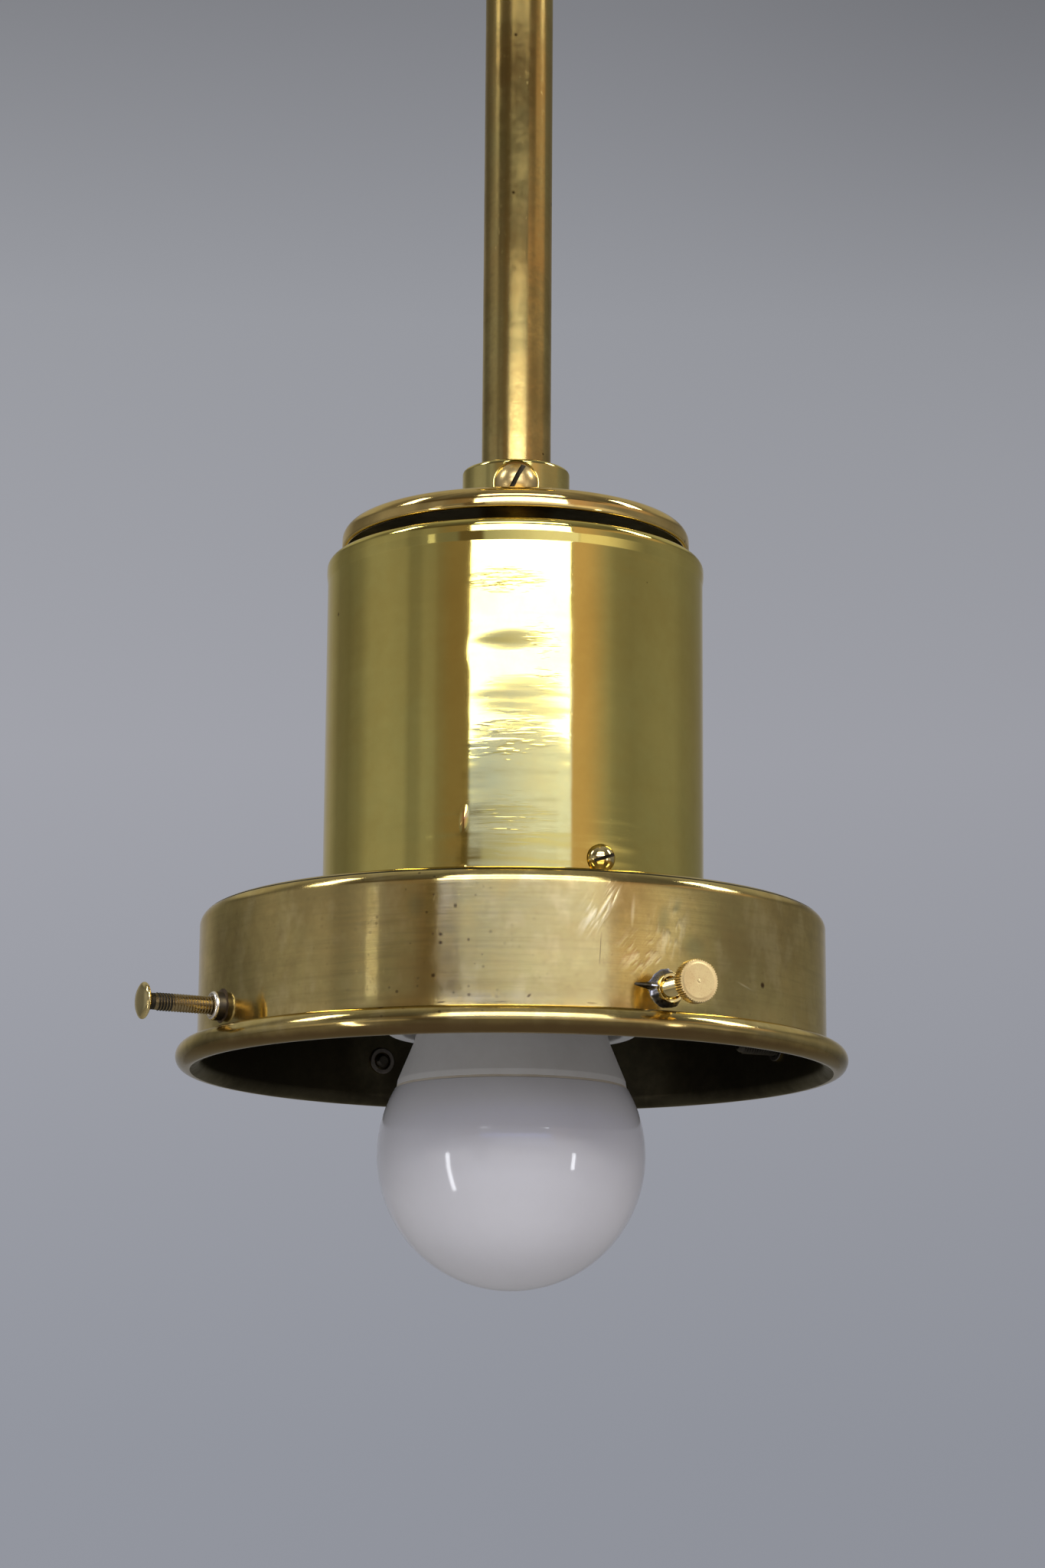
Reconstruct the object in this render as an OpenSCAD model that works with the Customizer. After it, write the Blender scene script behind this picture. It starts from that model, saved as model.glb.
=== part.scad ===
// Pendant light: a brass tube, a closed cup and a spun gallery for a glass neck, with its bulb.
// Heights are counted from the gallery's lower edge while a piece is drawn.
// The finished light hangs from the centre of its eye, which is the origin. +Z is up, -Y is the front.

/* [Gallery] */
// Outer diameter of the gallery's wall
gallery_d = 105.6; // [96:0.1:130]
// Height from the lower edge to the top plate
gallery_h = 26.6; // [22:0.1:36]
// Thickness of the spun sheet
gallery_wall = 0.8; // [0.6:0.1:1.2]
// Outer radius of the shoulder between wall and top plate
shoulder_r = 2.5; // [1.5:0.1:5]
// Diameter of the rolled bead along the lower edge
bead_d = 4.4; // [3.5:0.1:5]
// Open slit where the rolled edge comes back to the wall
bead_slit = 0.35; // [0.2:0.05:0.6]
// Height of the neck that stands up inside the cup
neck_h = 8.4; // [7.5:0.1:14]

/* [Thumbscrews] */
// Gap between the bead and the knurled heads or the solder above it
thumb_gap = 0.2; // [0.2:0.1:4]
// Angle of the right front thumbscrew from the front; the others follow at 90 degrees
thumb_angle = 27; // [15:1:35]
// Thread diameter
thumb_d = 3; // [2.5:0.1:3.4]
// Length over all
thumb_l = 16; // [15:0.5:20]
// Diameter of a knurled head
knurl_head_d = 6.8; // [5:0.1:9]
// Thickness of a knurled head
knurl_head_t = 2.1; // [1.2:0.1:3]
// Flutes round a knurled head
knurl_count = 24; // [16:1:32]
// Depth of a flute
knurl_depth = 0.22; // [0.1:0.01:0.3]
// Diameter of the plain head on the left thumbscrew
plain_head_d = 6; // [5:0.1:8]
// Thickness of the plain head
plain_head_t = 1.5; // [1:0.1:3]
// Diameter of the tapped bushes
bush_d = 4.7; // [4.2:0.1:5.6]
// How far a bush stands out of the wall
bush_proud = 1.9; // [1.2:0.1:2.4]
// How far a bush stands in from the wall
bush_inset = 0.5; // [0.2:0.1:1]
// Diameter of the solder round a bush, on the wall
solder_d = 6.2; // [6:0.1:6.4]
// Radial play of a thumbscrew in its bush
thumb_play = 0.05; // [0.02:0.01:0.08]
// How far the right thumbscrew's face stands out of the wall
right_reach = 10.2; // [8:0.1:12]
// How far the left thumbscrew's face stands out of the wall
left_reach = 14.2; // [8:0.1:14.4]
// How far the rear left thumbscrew's face stands out of the wall
rear_left_reach = 14.2; // [8:0.1:14.4]
// How far the rear right thumbscrew's face stands out of the wall
rear_right_reach = 7.2; // [6.5:0.1:12]

/* [Cup] */
// Outer diameter of the cup
cup_d = 65; // [62:0.5:74]
// Height of the cup above the gallery's top plate
cup_h = 61.7; // [58:0.1:80]
// Thickness of the cup's sheet
cup_wall = 0.8; // [0.6:0.1:1.2]
// Outer radius of the cup's top edge
cup_edge_r = 1.4; // [1.3:0.1:3]
// Diameter of a vent hole in the cup's top
vent_d = 8; // [4:0.5:10]
// Number of vent holes
vent_count = 6; // [3:1:8]
// Diameter of the circle that the vent holes lie on
vent_circle_d = 40; // [34:1:46]
// Gap between the gallery's neck and the cup
neck_gap = 0.1; // [0.05:0.05:0.2]

/* [Cup screws] */
// Number of screws that hold the gallery in the cup
cup_screw_count = 3; // [2:1:4]
// Angle of the first cup screw from the front
cup_screw_angle = 26; // [0:1:45]
// Height of the cup screws above the gallery's top plate
cup_screw_rise = 5.2; // [3.5:0.1:6]
// Thread diameter of a cup screw
cup_screw_d = 2.5; // [2:0.1:3]
// Head diameter of a cup screw
cup_screw_head_d = 4.8; // [4:0.1:6]
// Head height of a cup screw
cup_screw_head_h = 2; // [1.2:0.1:3]
// Length of a cup screw under its head
cup_screw_l = 3.4; // [2.5:0.1:3.8]

/* [Cover] */
// Outer diameter of the dished cover
cover_d = 60; // [52:0.5:64]
// Gap between the cup's top and the cover's lower edge
cover_gap = 2.3; // [1.5:0.1:6]
// Height from the cover's lower edge to the seat of its collar
cover_h = 4.9; // [4.8:0.1:10]
// Thickness of the cover's sheet
cover_wall = 1; // [0.8:0.1:1.4]
// Outer radius of the cover's edge
cover_edge_r = 3; // [2:0.1:3.2]
// Rise of the cover's crown from its edge to its collar
cover_crown = 1; // [0.4:0.1:1.4]

/* [Collars] */
// Outer diameter of a set collar
collar_d = 18.6; // [18:0.1:22]
// Height of a set collar
collar_h = 9.6; // [9.4:0.1:14]
// Radial play of whatever slides on the rod
slide_play = 0.06; // [0.03:0.01:0.09]
// Thread diameter of a set screw
set_screw_d = 4; // [3:0.1:4.5]
// Head diameter of a set screw
set_head_d = 7.6; // [6:0.1:7.8]
// Head height of a set screw
set_head_h = 3; // [2:0.1:3.6]
// Depth of the flat that the head seats on
set_seat_depth = 0.9; // [0.8:0.1:1.4]
// Height of a set screw above its collar's lower face
set_screw_rise = 5.4; // [5:0.1:5.5]

/* [Rod] */
// Outer diameter of the tube
rod_d = 12; // [11.6:0.1:13]
// Length of the tube from the cup's top to the eye
rod_l = 173.7; // [160:0.1:500]

/* [Nipples and nut] */
// Thread diameter of the nipples, which is the tube's bore
nipple_d = 10; // [9:0.1:10.4]
// Wireway through a nipple
nipple_bore = 7.4; // [6.6:0.1:7.8]
// How far each nipple screws into the tube
nipple_grip = 12; // [8:0.5:20]
// How far the upper nipple screws into the eye
eye_grip = 9; // [7:0.5:9.5]
// Play of the cup and the washer round the nipple
nipple_play = 0.1; // [0.05:0.05:0.3]
// Width of the nut across its flats
nut_af = 14; // [13:0.5:17]
// Height of the nut
nut_h = 3; // [2:0.5:6]
// Diameter of the washer
washer_d = 20; // [17:0.5:24]
// Thickness of the washer
washer_t = 1; // [0.5:0.1:2]

/* [Lampholder] */
// Height of the skirt's lower edge above the gallery's lower edge
holder_rise = 6.8; // [6:0.1:8]
// Outer diameter of the lampholder
holder_d = 42.6; // [42:0.1:46]
// Length of the skirt
skirt_l = 42.8; // [42:0.1:46]
// Wall of the skirt
skirt_wall = 2.8; // [2.4:0.1:3]
// Height of the lampholder's cap without its neck
holder_cap_h = 16.4; // [16:0.1:18]
// Wall of the lampholder's cap
holder_cap_wall = 2.6; // [2:0.1:3]
// Height of the cap's threaded neck
holder_neck_h = 4; // [3.5:0.1:5]
// Outer diameter of the cap's threaded neck
holder_neck_d = 16; // [15:0.5:18]
// Diameter of the grub screw that locks the cap on its nipple
lock_screw_d = 2.5; // [2:0.1:3]
// Thickness of the insulating plate
core_t = 5; // [4:0.1:6]
// Thickness of the ledge that carries the plate
ledge_t = 1.6; // [1.2:0.1:2.4]
// Length of the screw shell
shell_l = 27; // [24:0.5:27.5]
// Inner diameter of the screw shell
shell_bore = 27; // [26.8:0.1:27.4]
// Thickness of the screw shell
shell_t = 0.5; // [0.3:0.05:0.6]
// Distance of each terminal from the lamp's axis
terminal_offset = 11; // [10.8:0.1:11.6]
// Width of a terminal
terminal_w = 5; // [4.6:0.1:5.4]
// Depth of a terminal
terminal_t = 6; // [5:0.1:7]
// Height of a terminal
terminal_h = 6; // [5:0.1:6.4]
// Width of the centre contact's strip
strip_w = 4; // [3:0.1:4.4]
// Thickness of the centre contact's strip
strip_t = 0.6; // [0.4:0.05:0.8]
// Gap between the bulb's tip and the strip
strip_gap = 0.1; // [0.05:0.01:0.2]
// Diameter of the rivets through the plate
rivet_d = 1.6; // [1.2:0.1:1.8]

/* [Bulb] */
// Diameter of the globe
globe_d = 45; // [44:0.5:50]
// Wall of the globe
globe_wall = 1.5; // [1.2:0.1:2]
// Gap from the bulb's tip up to the insulating plate
bulb_tip_gap = 1.6; // [1.5:0.1:2]
// Length of the bulb over all
bulb_l = 79; // [78:0.5:88]
// Height of the seam above the globe's centre
seam_rise = 11.2; // [10:0.1:12]
// Outer radius of the housing at the seam
housing_r = 19.3; // [19:0.1:19.5]
// Outer radius of the housing at its waist
housing_waist_r = 16.5; // [16:0.1:17]
// Height of the waist above the seam
housing_waist_rise = 7.6; // [5:0.1:10]
// Wall of the housing
housing_wall = 1.4; // [1.2:0.1:1.6]
// Outer diameter of the bulb's cap
bulb_cap_d = 26; // [25.6:0.1:26.2]
// Thickness of the cap's sheet
bulb_cap_t = 0.5; // [0.3:0.05:0.6]
// Length of the bulb's cap with its contact
bulb_cap_l = 27; // [26:0.5:28]
// Height of the insulator and contact above the cap's sheet
bulb_nose_h = 5; // [4:0.1:6]
// Diameter of the tip contact
tip_contact_d = 9.2; // [8:0.1:10]
// Height of the tip contact
tip_contact_h = 1.6; // [1:0.1:2]
// Thickness of the LED plate
led_plate_t = 1.6; // [1:0.1:2]
// Number of LED chips on the plate
led_count = 8; // [4:1:12]
// Diameter of the circle that the chips lie on
led_circle_d = 20; // [16:1:26]
// Side of an LED chip
led_side = 3; // [2:0.1:3.6]
// Width of the driver board
board_w = 18; // [14:0.5:20]

/* [Canopy] */
// Outer diameter of the canopy's wall
canopy_d = 96; // [90:1:140]
// Height of the canopy
canopy_h = 78; // [74:1:90]
// Height of the straight rim below the ceiling
canopy_rim_h = 16; // [8:1:24]
// Thickness of the canopy's sheet
canopy_wall = 0.8; // [0.6:0.1:1.2]
// Diameter of the canopy's flat seat on its collar
canopy_seat_d = 24; // [20:1:30]
// Diameter of the bead along the canopy's rim
canopy_bead_d = 3.6; // [3:0.1:5]
// Gap between the ceiling and the crown of the eye
ceiling_gap = 12; // [8:1:16]

/* [Hanging eye] */
// Diameter of the eye's hole
eye_hole_d = 16; // [12:0.5:20]
// Outer diameter of the eye
eye_d = 29; // [28:0.5:34]
// Thickness of the eye
eye_t = 7; // [5:0.5:9]
// Diameter of the eye's boss
boss_d = 18; // [17:0.5:20]
// Height of the boss from the tube's end to the eye's rim
boss_h = 20; // [19.5:0.5:28]
// Height of the cone that joins the boss to the eye
boss_cone_h = 8; // [6:0.5:9]
// Depth of the threaded bore in the boss
boss_bore_depth = 17; // [16.8:0.1:18]
// Diameter of the side hole for the leads
wireway_d = 6.4; // [5.4:0.1:6.6]
// Height of the side hole above the tube's end
wireway_rise = 13.4; // [13:0.1:13.6]
// Depth of the flat that the terminal block is screwed to
boss_flat_depth = 1; // [0.5:0.1:1.5]

/* [Terminal block] */
// Width of the terminal block
block_w = 18; // [16.5:0.5:22]
// Height of the terminal block
block_h = 13; // [11:0.5:14]
// Depth of the terminal block
block_t = 12; // [10:0.5:13]
// Height of the block's top above the tube's end
block_rise = 6; // [5:0.1:7]
// Distance of each way from the middle
way_offset = 5.2; // [4.8:0.1:5.6]
// Outer diameter of the brass tubes
way_tube_d = 4.8; // [4:0.1:5]
// Bore of the brass tubes
way_bore = 3; // [2.5:0.1:3.2]
// Diameter of the block's clamp screws
way_screw_d = 2.5; // [2:0.1:2.8]
// Diameter of the screw that fixes the block
fixing_screw_d = 2.6; // [2:0.1:2.8]

/* [Leads] */
// Diameter of a lead over its insulation
lead_d = 2; // [1.6:0.1:2.2]
// Distance of each lead from the rod's axis
lead_offset = 1.5; // [1.2:0.1:1.6]

/* [Hidden] */
$fn = 96;
cut = 1; // spare length of a cutting solid past the face it cuts
edge_steps = 8; // stretches in the round of a sheet's edge
bead_steps = 28; // stretches round a rolled bead

gallery_r = gallery_d / 2;
gallery_ir = gallery_r - gallery_wall;
bead_r = bead_d / 2;
plate_under = gallery_h - gallery_wall;
thumb_pitch = 90;
thumb_z = bead_d + thumb_gap + max(knurl_head_d, solder_d) / 2;
bush_r = bush_d / 2;
bush_chamfer = 0.4;
solder_h = 1.3; // how far the solder runs up a bush
solder_lip = 0.2; // its thickness at the top

cup_r = cup_d / 2;
cup_ir = cup_r - cup_wall;
cup_top = gallery_h + cup_h;
cup_under = cup_top - cup_wall;
neck_r = cup_ir - neck_gap;
neck_ir = neck_r - gallery_wall;
cup_screw_z = gallery_h + cup_screw_rise;
cup_slot_angle = 20;

rod_r = rod_d / 2;
rod_top = cup_top + rod_l;
slide_r = rod_r + slide_play;
nipple_r = nipple_d / 2;
nipple_hole_r = nipple_r + nipple_play;

collar_r = collar_d / 2;
set_seat_r = collar_r - set_seat_depth;
set_slot_angle = 53;

cover_r = cover_d / 2;
cover_edge_z = cup_top + cover_gap;
cover_seat_z = cover_edge_z + cover_h;

eye_r = eye_d / 2;
boss_r = boss_d / 2;
eye_z = rod_top + boss_h + eye_r;
wireway_z = rod_top + wireway_rise;
boss_flat_y = boss_r - boss_flat_depth;

canopy_r = canopy_d / 2;
canopy_top = eye_z + eye_r + ceiling_gap;
canopy_base = canopy_top - canopy_h;
canopy_seat_r = canopy_seat_d / 2;

holder_r = holder_d / 2;
skirt_top = holder_rise + skirt_l;
core_r = holder_r - skirt_wall;
core_base = skirt_top - core_t;
core_lap = 1.2; // how far the cap reaches over the plate
holder_cap_top = skirt_top + holder_cap_h;
holder_top = holder_cap_top + holder_neck_h;
holder_neck_r = holder_neck_d / 2;
nipple_base = holder_cap_top - holder_cap_wall;
shell_r = shell_bore / 2 + shell_t;
flange_ir = 10.5; // hole in the shell's flange round the centre contact
ledge_gap = 0.4; // between the shell and the ledge
terminal_top = skirt_top + terminal_h;
live_rivet_x = terminal_offset - terminal_w / 2 + rivet_d / 2;
neutral_rivet_x = terminal_offset + 1.2;
terminal_floor = 1; // below the hole for the lead
clamp_screw_d = 2.4;
clamp_stand = 1; // how far a clamp screw stands out of its terminal
lead_play = 0.05; // round a lead, and between it and the screw that holds it
strip_end_gap = 0.4; // between the contact's strip and the shell's flange
strip_bend_low = 2.6; // where the strip starts to slope, and where it meets the plate
strip_bend_high = 5;

bulb_tip = core_base - bulb_tip_gap;
globe_r = globe_d / 2;
globe_z = bulb_tip - bulb_l + globe_r;
seam_z = globe_z + seam_rise;
bulb_cap_r = bulb_cap_d / 2;
bulb_cap_base = bulb_tip - bulb_cap_l;
bulb_cap_top = bulb_tip - bulb_nose_h;
bulb_crown_r = bulb_cap_r - 1.2;
insulator_r = bulb_cap_r - 2.6;
spigot_h = 4; // how far the housing reaches into the bulb's cap
housing_lip = 0.6; // how far the housing stands out round the bulb's cap
rebate_w = 1.2; // ledge in the housing that the LED plate lies against
insulator_t = 1.5; // below the cap's sheet
insulator_lip = 0.6; // round the tip contact
tip_chamfer = 1;
board_t = 1.2;
board_reach = 14; // how far the board reaches into the bulb's cap
capacitor_r = 4;
capacitor_h = 10;
capacitor_rise = 3; // above the LED plate
coil_w = 8;
coil_t = 5;
coil_rise = 4;
chip_t = 0.8;

block_y = boss_flat_y + block_t / 2;
block_top = rod_top + block_rise;
block_base = block_top - block_h;
fixing_z = rod_top + block_rise / 2;
fixing_head_d = 5;
fixing_head_h = 1.6;
fixing_tip_gap = 0.3; // between the fixing screw and the nipple
tube_inset = 1; // from the block's ends to its tubes
clamp_rows = [0.3, 0.7]; // shares of the block's height
clamp_room = 1; // how much wider the block's screw holes are than the screws
clamp_sunk = 1.6; // how deep the clamp screws lie in the block

grub_slot_w = 0.5;
grub_slot_depth = 0.8;

polished_brass = [0.72, 0.66, 0.36];
satin_brass = [0.70, 0.58, 0.33];
worn_brass = [0.55, 0.44, 0.24];
steel = [0.62, 0.62, 0.60];
solder_grey = [0.55, 0.57, 0.60];
white_plastic = [0.88, 0.88, 0.87];
opal = [0.93, 0.93, 0.96];

// The list starts at the ceiling and ends at the bulb

// Helpers

// Moves a piece from heights above the gallery to its place under the eye
module hung() {
    translate([0, 0, -eye_z]) children();
}

// Turns a piece drawn along +Z so that it points outwards at an angle from the front
module radial(angle, height) {
    rotate([0, 0, angle]) translate([0, 0, height]) rotate([90, 0, 0]) children();
}

// A straight round tube
module tube(outer_r, inner_r, length) {
    difference() {
        cylinder(r = outer_r, h = length);
        translate([0, 0, -cut]) cylinder(r = inner_r, h = length + 2 * cut);
    }
}

// Points along an arc, from one angle to the other
function arc(x, z, r, from, to, steps) = [
    for (i = [0 : steps])
        let (a = from + (to - from) * i / steps)
        [x + r * cos(a), z + r * sin(a)]
];

// A slotted round head that stands on the plane below it
module slotted_head(d, h, slot_angle) {
    dome_r = (d * d / 4 + h * h) / (2 * h);
    slot_w = d * 0.14;
    difference() {
        intersection() {
            translate([0, 0, h - dome_r]) sphere(r = dome_r);
            cylinder(d = d + cut, h = h + cut);
        }
        rotate([0, 0, slot_angle]) translate([-d / 2 - cut, -slot_w / 2, h / 2]) {
            cube([d + 2 * cut, slot_w, h]);
        }
    }
}

// A headless screw along +Z with a slot across its end
module grub_screw(d, length) {
    difference() {
        cylinder(d = d, h = length);
        translate([-d, -grub_slot_w / 2, length - grub_slot_depth]) cube([d * 2, grub_slot_w, d]);
    }
}

// Points along a quarter ellipse from the first radius and height to the second
function quarter_ellipse(r0, z0, r1, z1, steps) = [
    for (i = [0 : steps])
        let (a = 90 * i / steps)
        [r0 + (r1 - r0) * sin(a), z0 + (z1 - z0) * (1 - cos(a))]
];

function reversed(points) = [for (i = [len(points) - 1 : -1 : 0]) points[i]];

// Ceiling fitting

module hanging_eye() color(worn_brass) hung() {
    cone_z = rod_top + boss_h - boss_cone_h / 2;
    difference() {
        union() {
            translate([0, 0, rod_top]) cylinder(r = boss_r, h = cone_z - rod_top);
            translate([0, 0, cone_z]) cylinder(r1 = boss_r, r2 = eye_t / 2, h = boss_cone_h);
            translate([-eye_t / 2, 0, eye_z]) rotate([0, 90, 0]) cylinder(r = eye_r, h = eye_t);
        }
        translate([-boss_r, 0, eye_z]) rotate([0, 90, 0]) cylinder(d = eye_hole_d, h = boss_d);
        translate([0, 0, rod_top - cut]) cylinder(r = nipple_r, h = boss_bore_depth + cut);
        translate([0, 0, wireway_z]) rotate([-90, 0, 0]) cylinder(d = wireway_d, h = boss_d);
        translate([-boss_r, boss_flat_y, rod_top - cut]) cube([boss_d, boss_d, block_rise + cut]);
        translate([0, 0, fixing_z]) rotate([-90, 0, 0]) cylinder(d = fixing_screw_d, h = boss_d);
    }
}

module upper_nipple() color(worn_brass) hung() {
    translate([0, 0, rod_top - nipple_grip]) tube(nipple_r, nipple_bore / 2, nipple_grip + eye_grip);
}

// Puts a piece on each way of the terminal block
module each_way() {
    for (side = [-1, 1]) translate([side * way_offset, block_y, 0]) children();
}

// Puts a piece at each clamp screw, pointing backwards from the way's axis
module each_clamp() {
    each_way() for (row = clamp_rows) translate([0, 0, block_base + block_h * row]) {
        rotate([-90, 0, 0]) children();
    }
}

module terminal_block() color(white_plastic) hung() {
    difference() {
        translate([-block_w / 2, boss_flat_y, block_base]) cube([block_w, block_t, block_h]);
        each_way() translate([0, 0, block_base - cut]) cylinder(d = way_tube_d, h = block_h + 2 * cut);
        each_clamp() cylinder(d = way_screw_d + clamp_room, h = block_t);
        translate([0, boss_flat_y - cut, fixing_z]) {
            rotate([-90, 0, 0]) cylinder(d = fixing_screw_d, h = block_t + 2 * cut);
        }
    }
}

module block_tubes() color(polished_brass) hung() {
    difference() {
        each_way() translate([0, 0, block_base + tube_inset]) {
            tube(way_tube_d / 2, way_bore / 2, block_h - 2 * tube_inset);
        }
        each_clamp() cylinder(d = way_screw_d, h = way_tube_d);
    }
}

module block_screws() color(steel) hung() {
    each_clamp() translate([0, 0, lead_d / 2 + lead_play]) {
        grub_screw(way_screw_d, block_t / 2 - clamp_sunk);
    }
}

module block_fixing_screw() color(steel) hung() {
    tip_y = nipple_r + fixing_tip_gap;
    head_y = boss_flat_y + block_t;
    translate([0, tip_y, fixing_z]) rotate([-90, 0, 0]) cylinder(d = fixing_screw_d, h = head_y - tip_y);
    translate([0, head_y, fixing_z]) rotate([-90, 0, 0]) slotted_head(fixing_head_d, fixing_head_h, 0);
}

// Leads

function unit(v) = v / norm(v);

// A point on a smooth curve through four neighbours
function smooth_point(a, b, c, d, t) =
    0.5 * (2 * b + (c - a) * t + (2 * a - 5 * b + 4 * c - d) * t * t + (3 * b - a - 3 * c + d) * t * t * t);

function smooth_route(p, steps) = [
    for (i = [0 : len(p) - 2])
        for (s = [0 : steps - 1])
            smooth_point(p[max(i - 1, 0)], p[i], p[i + 1], p[min(i + 2, len(p) - 1)], s / steps),
    p[len(p) - 1]
];

function ring_at(p, i, r, sides) =
    let (along = unit(p[min(i + 1, len(p) - 1)] - p[max(i - 1, 0)]))
    let (u = unit(cross(along, [1, 0, 0])))
    let (v = cross(along, u))
    [for (k = [0 : sides - 1]) p[i] + r * (u * cos(360 * k / sides) + v * sin(360 * k / sides))];

module wire(route, d) {
    sides = 8;
    count = len(route);
    points = [for (i = [0 : count - 1]) each ring_at(route, i, d / 2, sides)];
    walls = [
        for (i = [0 : count - 2])
            for (k = [0 : sides - 1])
                let (a = i * sides + k, b = i * sides + (k + 1) % sides)
                each [[a, b, b + sides], [a, b + sides, a + sides]]
    ];
    start = [for (k = [sides - 1 : -1 : 0]) k];
    end = [for (k = [0 : sides - 1]) (count - 1) * sides + k];
    polyhedron(points, concat([start], walls, [end]), convexity = 4);
}

// From a lampholder terminal up the rod, out of the side hole and down into the terminal block
function lead_route(side) = concat(
    smooth_route([
        [side * terminal_offset, 0, skirt_top + 1.5],
        [side * terminal_offset, 0, terminal_top + 0.4],
        [side * (terminal_offset - 1.6), 0, terminal_top + 3.4],
        [side * terminal_offset * 0.5, 0, (terminal_top + nipple_base) / 2 + 1.4],
        [side * (lead_offset + 0.6), 0, nipple_base - 0.4],
        [side * lead_offset, 0, nipple_base + 4],
        [side * lead_offset, 0, nipple_base + 8]
    ], 3),
    smooth_route([
        [side * lead_offset, 0, wireway_z - 12],
        [side * lead_offset, 0, wireway_z - 5],
        [side * lead_offset, 1.4, wireway_z - 1.6],
        [side * lead_offset, 5, wireway_z],
        [side * (lead_offset + way_offset) / 2, block_y - 4, wireway_z],
        [side * way_offset, block_y - 0.6, wireway_z - 2.6],
        [side * way_offset, block_y, block_top + 1],
        [side * way_offset, block_y, block_top - block_h * 0.4]
    ], 3)
);

module live_lead() color([0.36, 0.22, 0.14]) hung() wire(lead_route(1), lead_d);

module neutral_lead() color([0.16, 0.28, 0.55]) hung() wire(lead_route(-1), lead_d);

// Rod and what slides on it

module rod() color(satin_brass) hung() {
    translate([0, 0, cup_top]) tube(rod_r, nipple_r, rod_l);
}

// A set collar whose screw seats on a small flat in front
module set_collar() {
    difference() {
        tube(collar_r, slide_r, collar_h);
        radial(0, set_screw_rise) cylinder(d = set_screw_d, h = collar_d);
        radial(0, set_screw_rise) translate([0, 0, set_seat_r]) cylinder(d = set_head_d + 0.2, h = collar_d);
    }
}

module set_screw() {
    radial(0, set_screw_rise) {
        translate([0, 0, slide_r]) cylinder(d = set_screw_d, h = set_seat_r - slide_r);
        translate([0, 0, set_seat_r]) slotted_head(set_head_d, set_head_h, set_slot_angle);
    }
}

module cover_collar() color(satin_brass) hung() translate([0, 0, cover_seat_z]) set_collar();

module cover_set_screw() color(satin_brass) hung() translate([0, 0, cover_seat_z]) set_screw();

module cup_cover() color(satin_brass) hung() {
    edge_x = cover_r - cover_edge_r;
    edge_z = cover_seat_z - cover_crown - cover_edge_r;
    profile = concat(
        [[slide_r, cover_seat_z], [collar_r, cover_seat_z]],
        arc(edge_x, edge_z, cover_edge_r, 90, 0, edge_steps),
        [[cover_r, cover_edge_z], [cover_r - cover_wall, cover_edge_z]],
        arc(edge_x, edge_z, cover_edge_r - cover_wall, 0, 90, edge_steps),
        [[collar_r, cover_seat_z - cover_wall], [slide_r, cover_seat_z - cover_wall]]
    );
    rotate_extrude() polygon(profile);
}

module canopy_collar() color(satin_brass) hung() translate([0, 0, canopy_base - collar_h]) set_collar();

module canopy_set_screw() color(satin_brass) hung() translate([0, 0, canopy_base - collar_h]) set_screw();

module canopy() color(polished_brass) hung() {
    steps = 14;
    rim_z = canopy_top - canopy_rim_h;
    wall_ir = canopy_r - canopy_wall;
    bead = canopy_bead_d / 2;
    outer = quarter_ellipse(canopy_seat_r, canopy_base, canopy_r, rim_z, steps);
    inner = quarter_ellipse(canopy_seat_r, canopy_base + canopy_wall, wall_ir, rim_z, steps);
    rotate_extrude() {
        polygon(concat(outer, reversed(inner)));
        translate([slide_r, canopy_base]) square([canopy_seat_r - slide_r, canopy_wall]);
        translate([wall_ir, rim_z]) square([canopy_wall, canopy_rim_h - bead]);
        translate([wall_ir + bead, canopy_top - bead]) circle(r = bead, $fn = 32);
    }
}

// Cup

module cup() color(polished_brass) hung() {
    edge_x = cup_r - cup_edge_r;
    edge_z = cup_top - cup_edge_r;
    profile = concat(
        [[cup_ir, gallery_h], [cup_r, gallery_h]],
        arc(edge_x, edge_z, cup_edge_r, 0, 90, edge_steps),
        [[nipple_hole_r, cup_top], [nipple_hole_r, cup_under]],
        arc(edge_x, edge_z, cup_edge_r - cup_wall, 90, 0, edge_steps)
    );
    difference() {
        rotate_extrude() polygon(profile);
        for (i = [0 : vent_count - 1]) rotate([0, 0, (i + 0.5) * 360 / vent_count]) {
            translate([vent_circle_d / 2, 0, cup_under - cut]) cylinder(d = vent_d, h = cup_wall + 2 * cut);
        }
        each_cup_screw() cylinder(d = cup_screw_d, h = cup_r + cut);
    }
}

// Puts a piece at each cup screw, along its axis
module each_cup_screw() {
    for (i = [0 : cup_screw_count - 1]) {
        radial(cup_screw_angle + i * 360 / cup_screw_count, cup_screw_z) children();
    }
}

module lower_nipple() color(worn_brass) hung() {
    translate([0, 0, nipple_base]) {
        tube(nipple_r, nipple_bore / 2, cup_top + nipple_grip - nipple_base);
    }
}

module nipple_washer() color(steel) hung() {
    translate([0, 0, cup_under - washer_t]) tube(washer_d / 2, nipple_hole_r, washer_t);
}

module nipple_nut() color(worn_brass) hung() {
    translate([0, 0, cup_under - washer_t - nut_h]) difference() {
        cylinder(d = nut_af / cos(30), h = nut_h, $fn = 6);
        translate([0, 0, -cut]) cylinder(r = nipple_r, h = nut_h + 2 * cut);
    }
}

module cup_screws() color(satin_brass) hung() {
    each_cup_screw() {
        translate([0, 0, cup_r - cup_screw_l]) cylinder(d = cup_screw_d, h = cup_screw_l);
        translate([0, 0, cup_r]) slotted_head(cup_screw_head_d, cup_screw_head_h, cup_slot_angle);
    }
}

// Gallery

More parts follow.
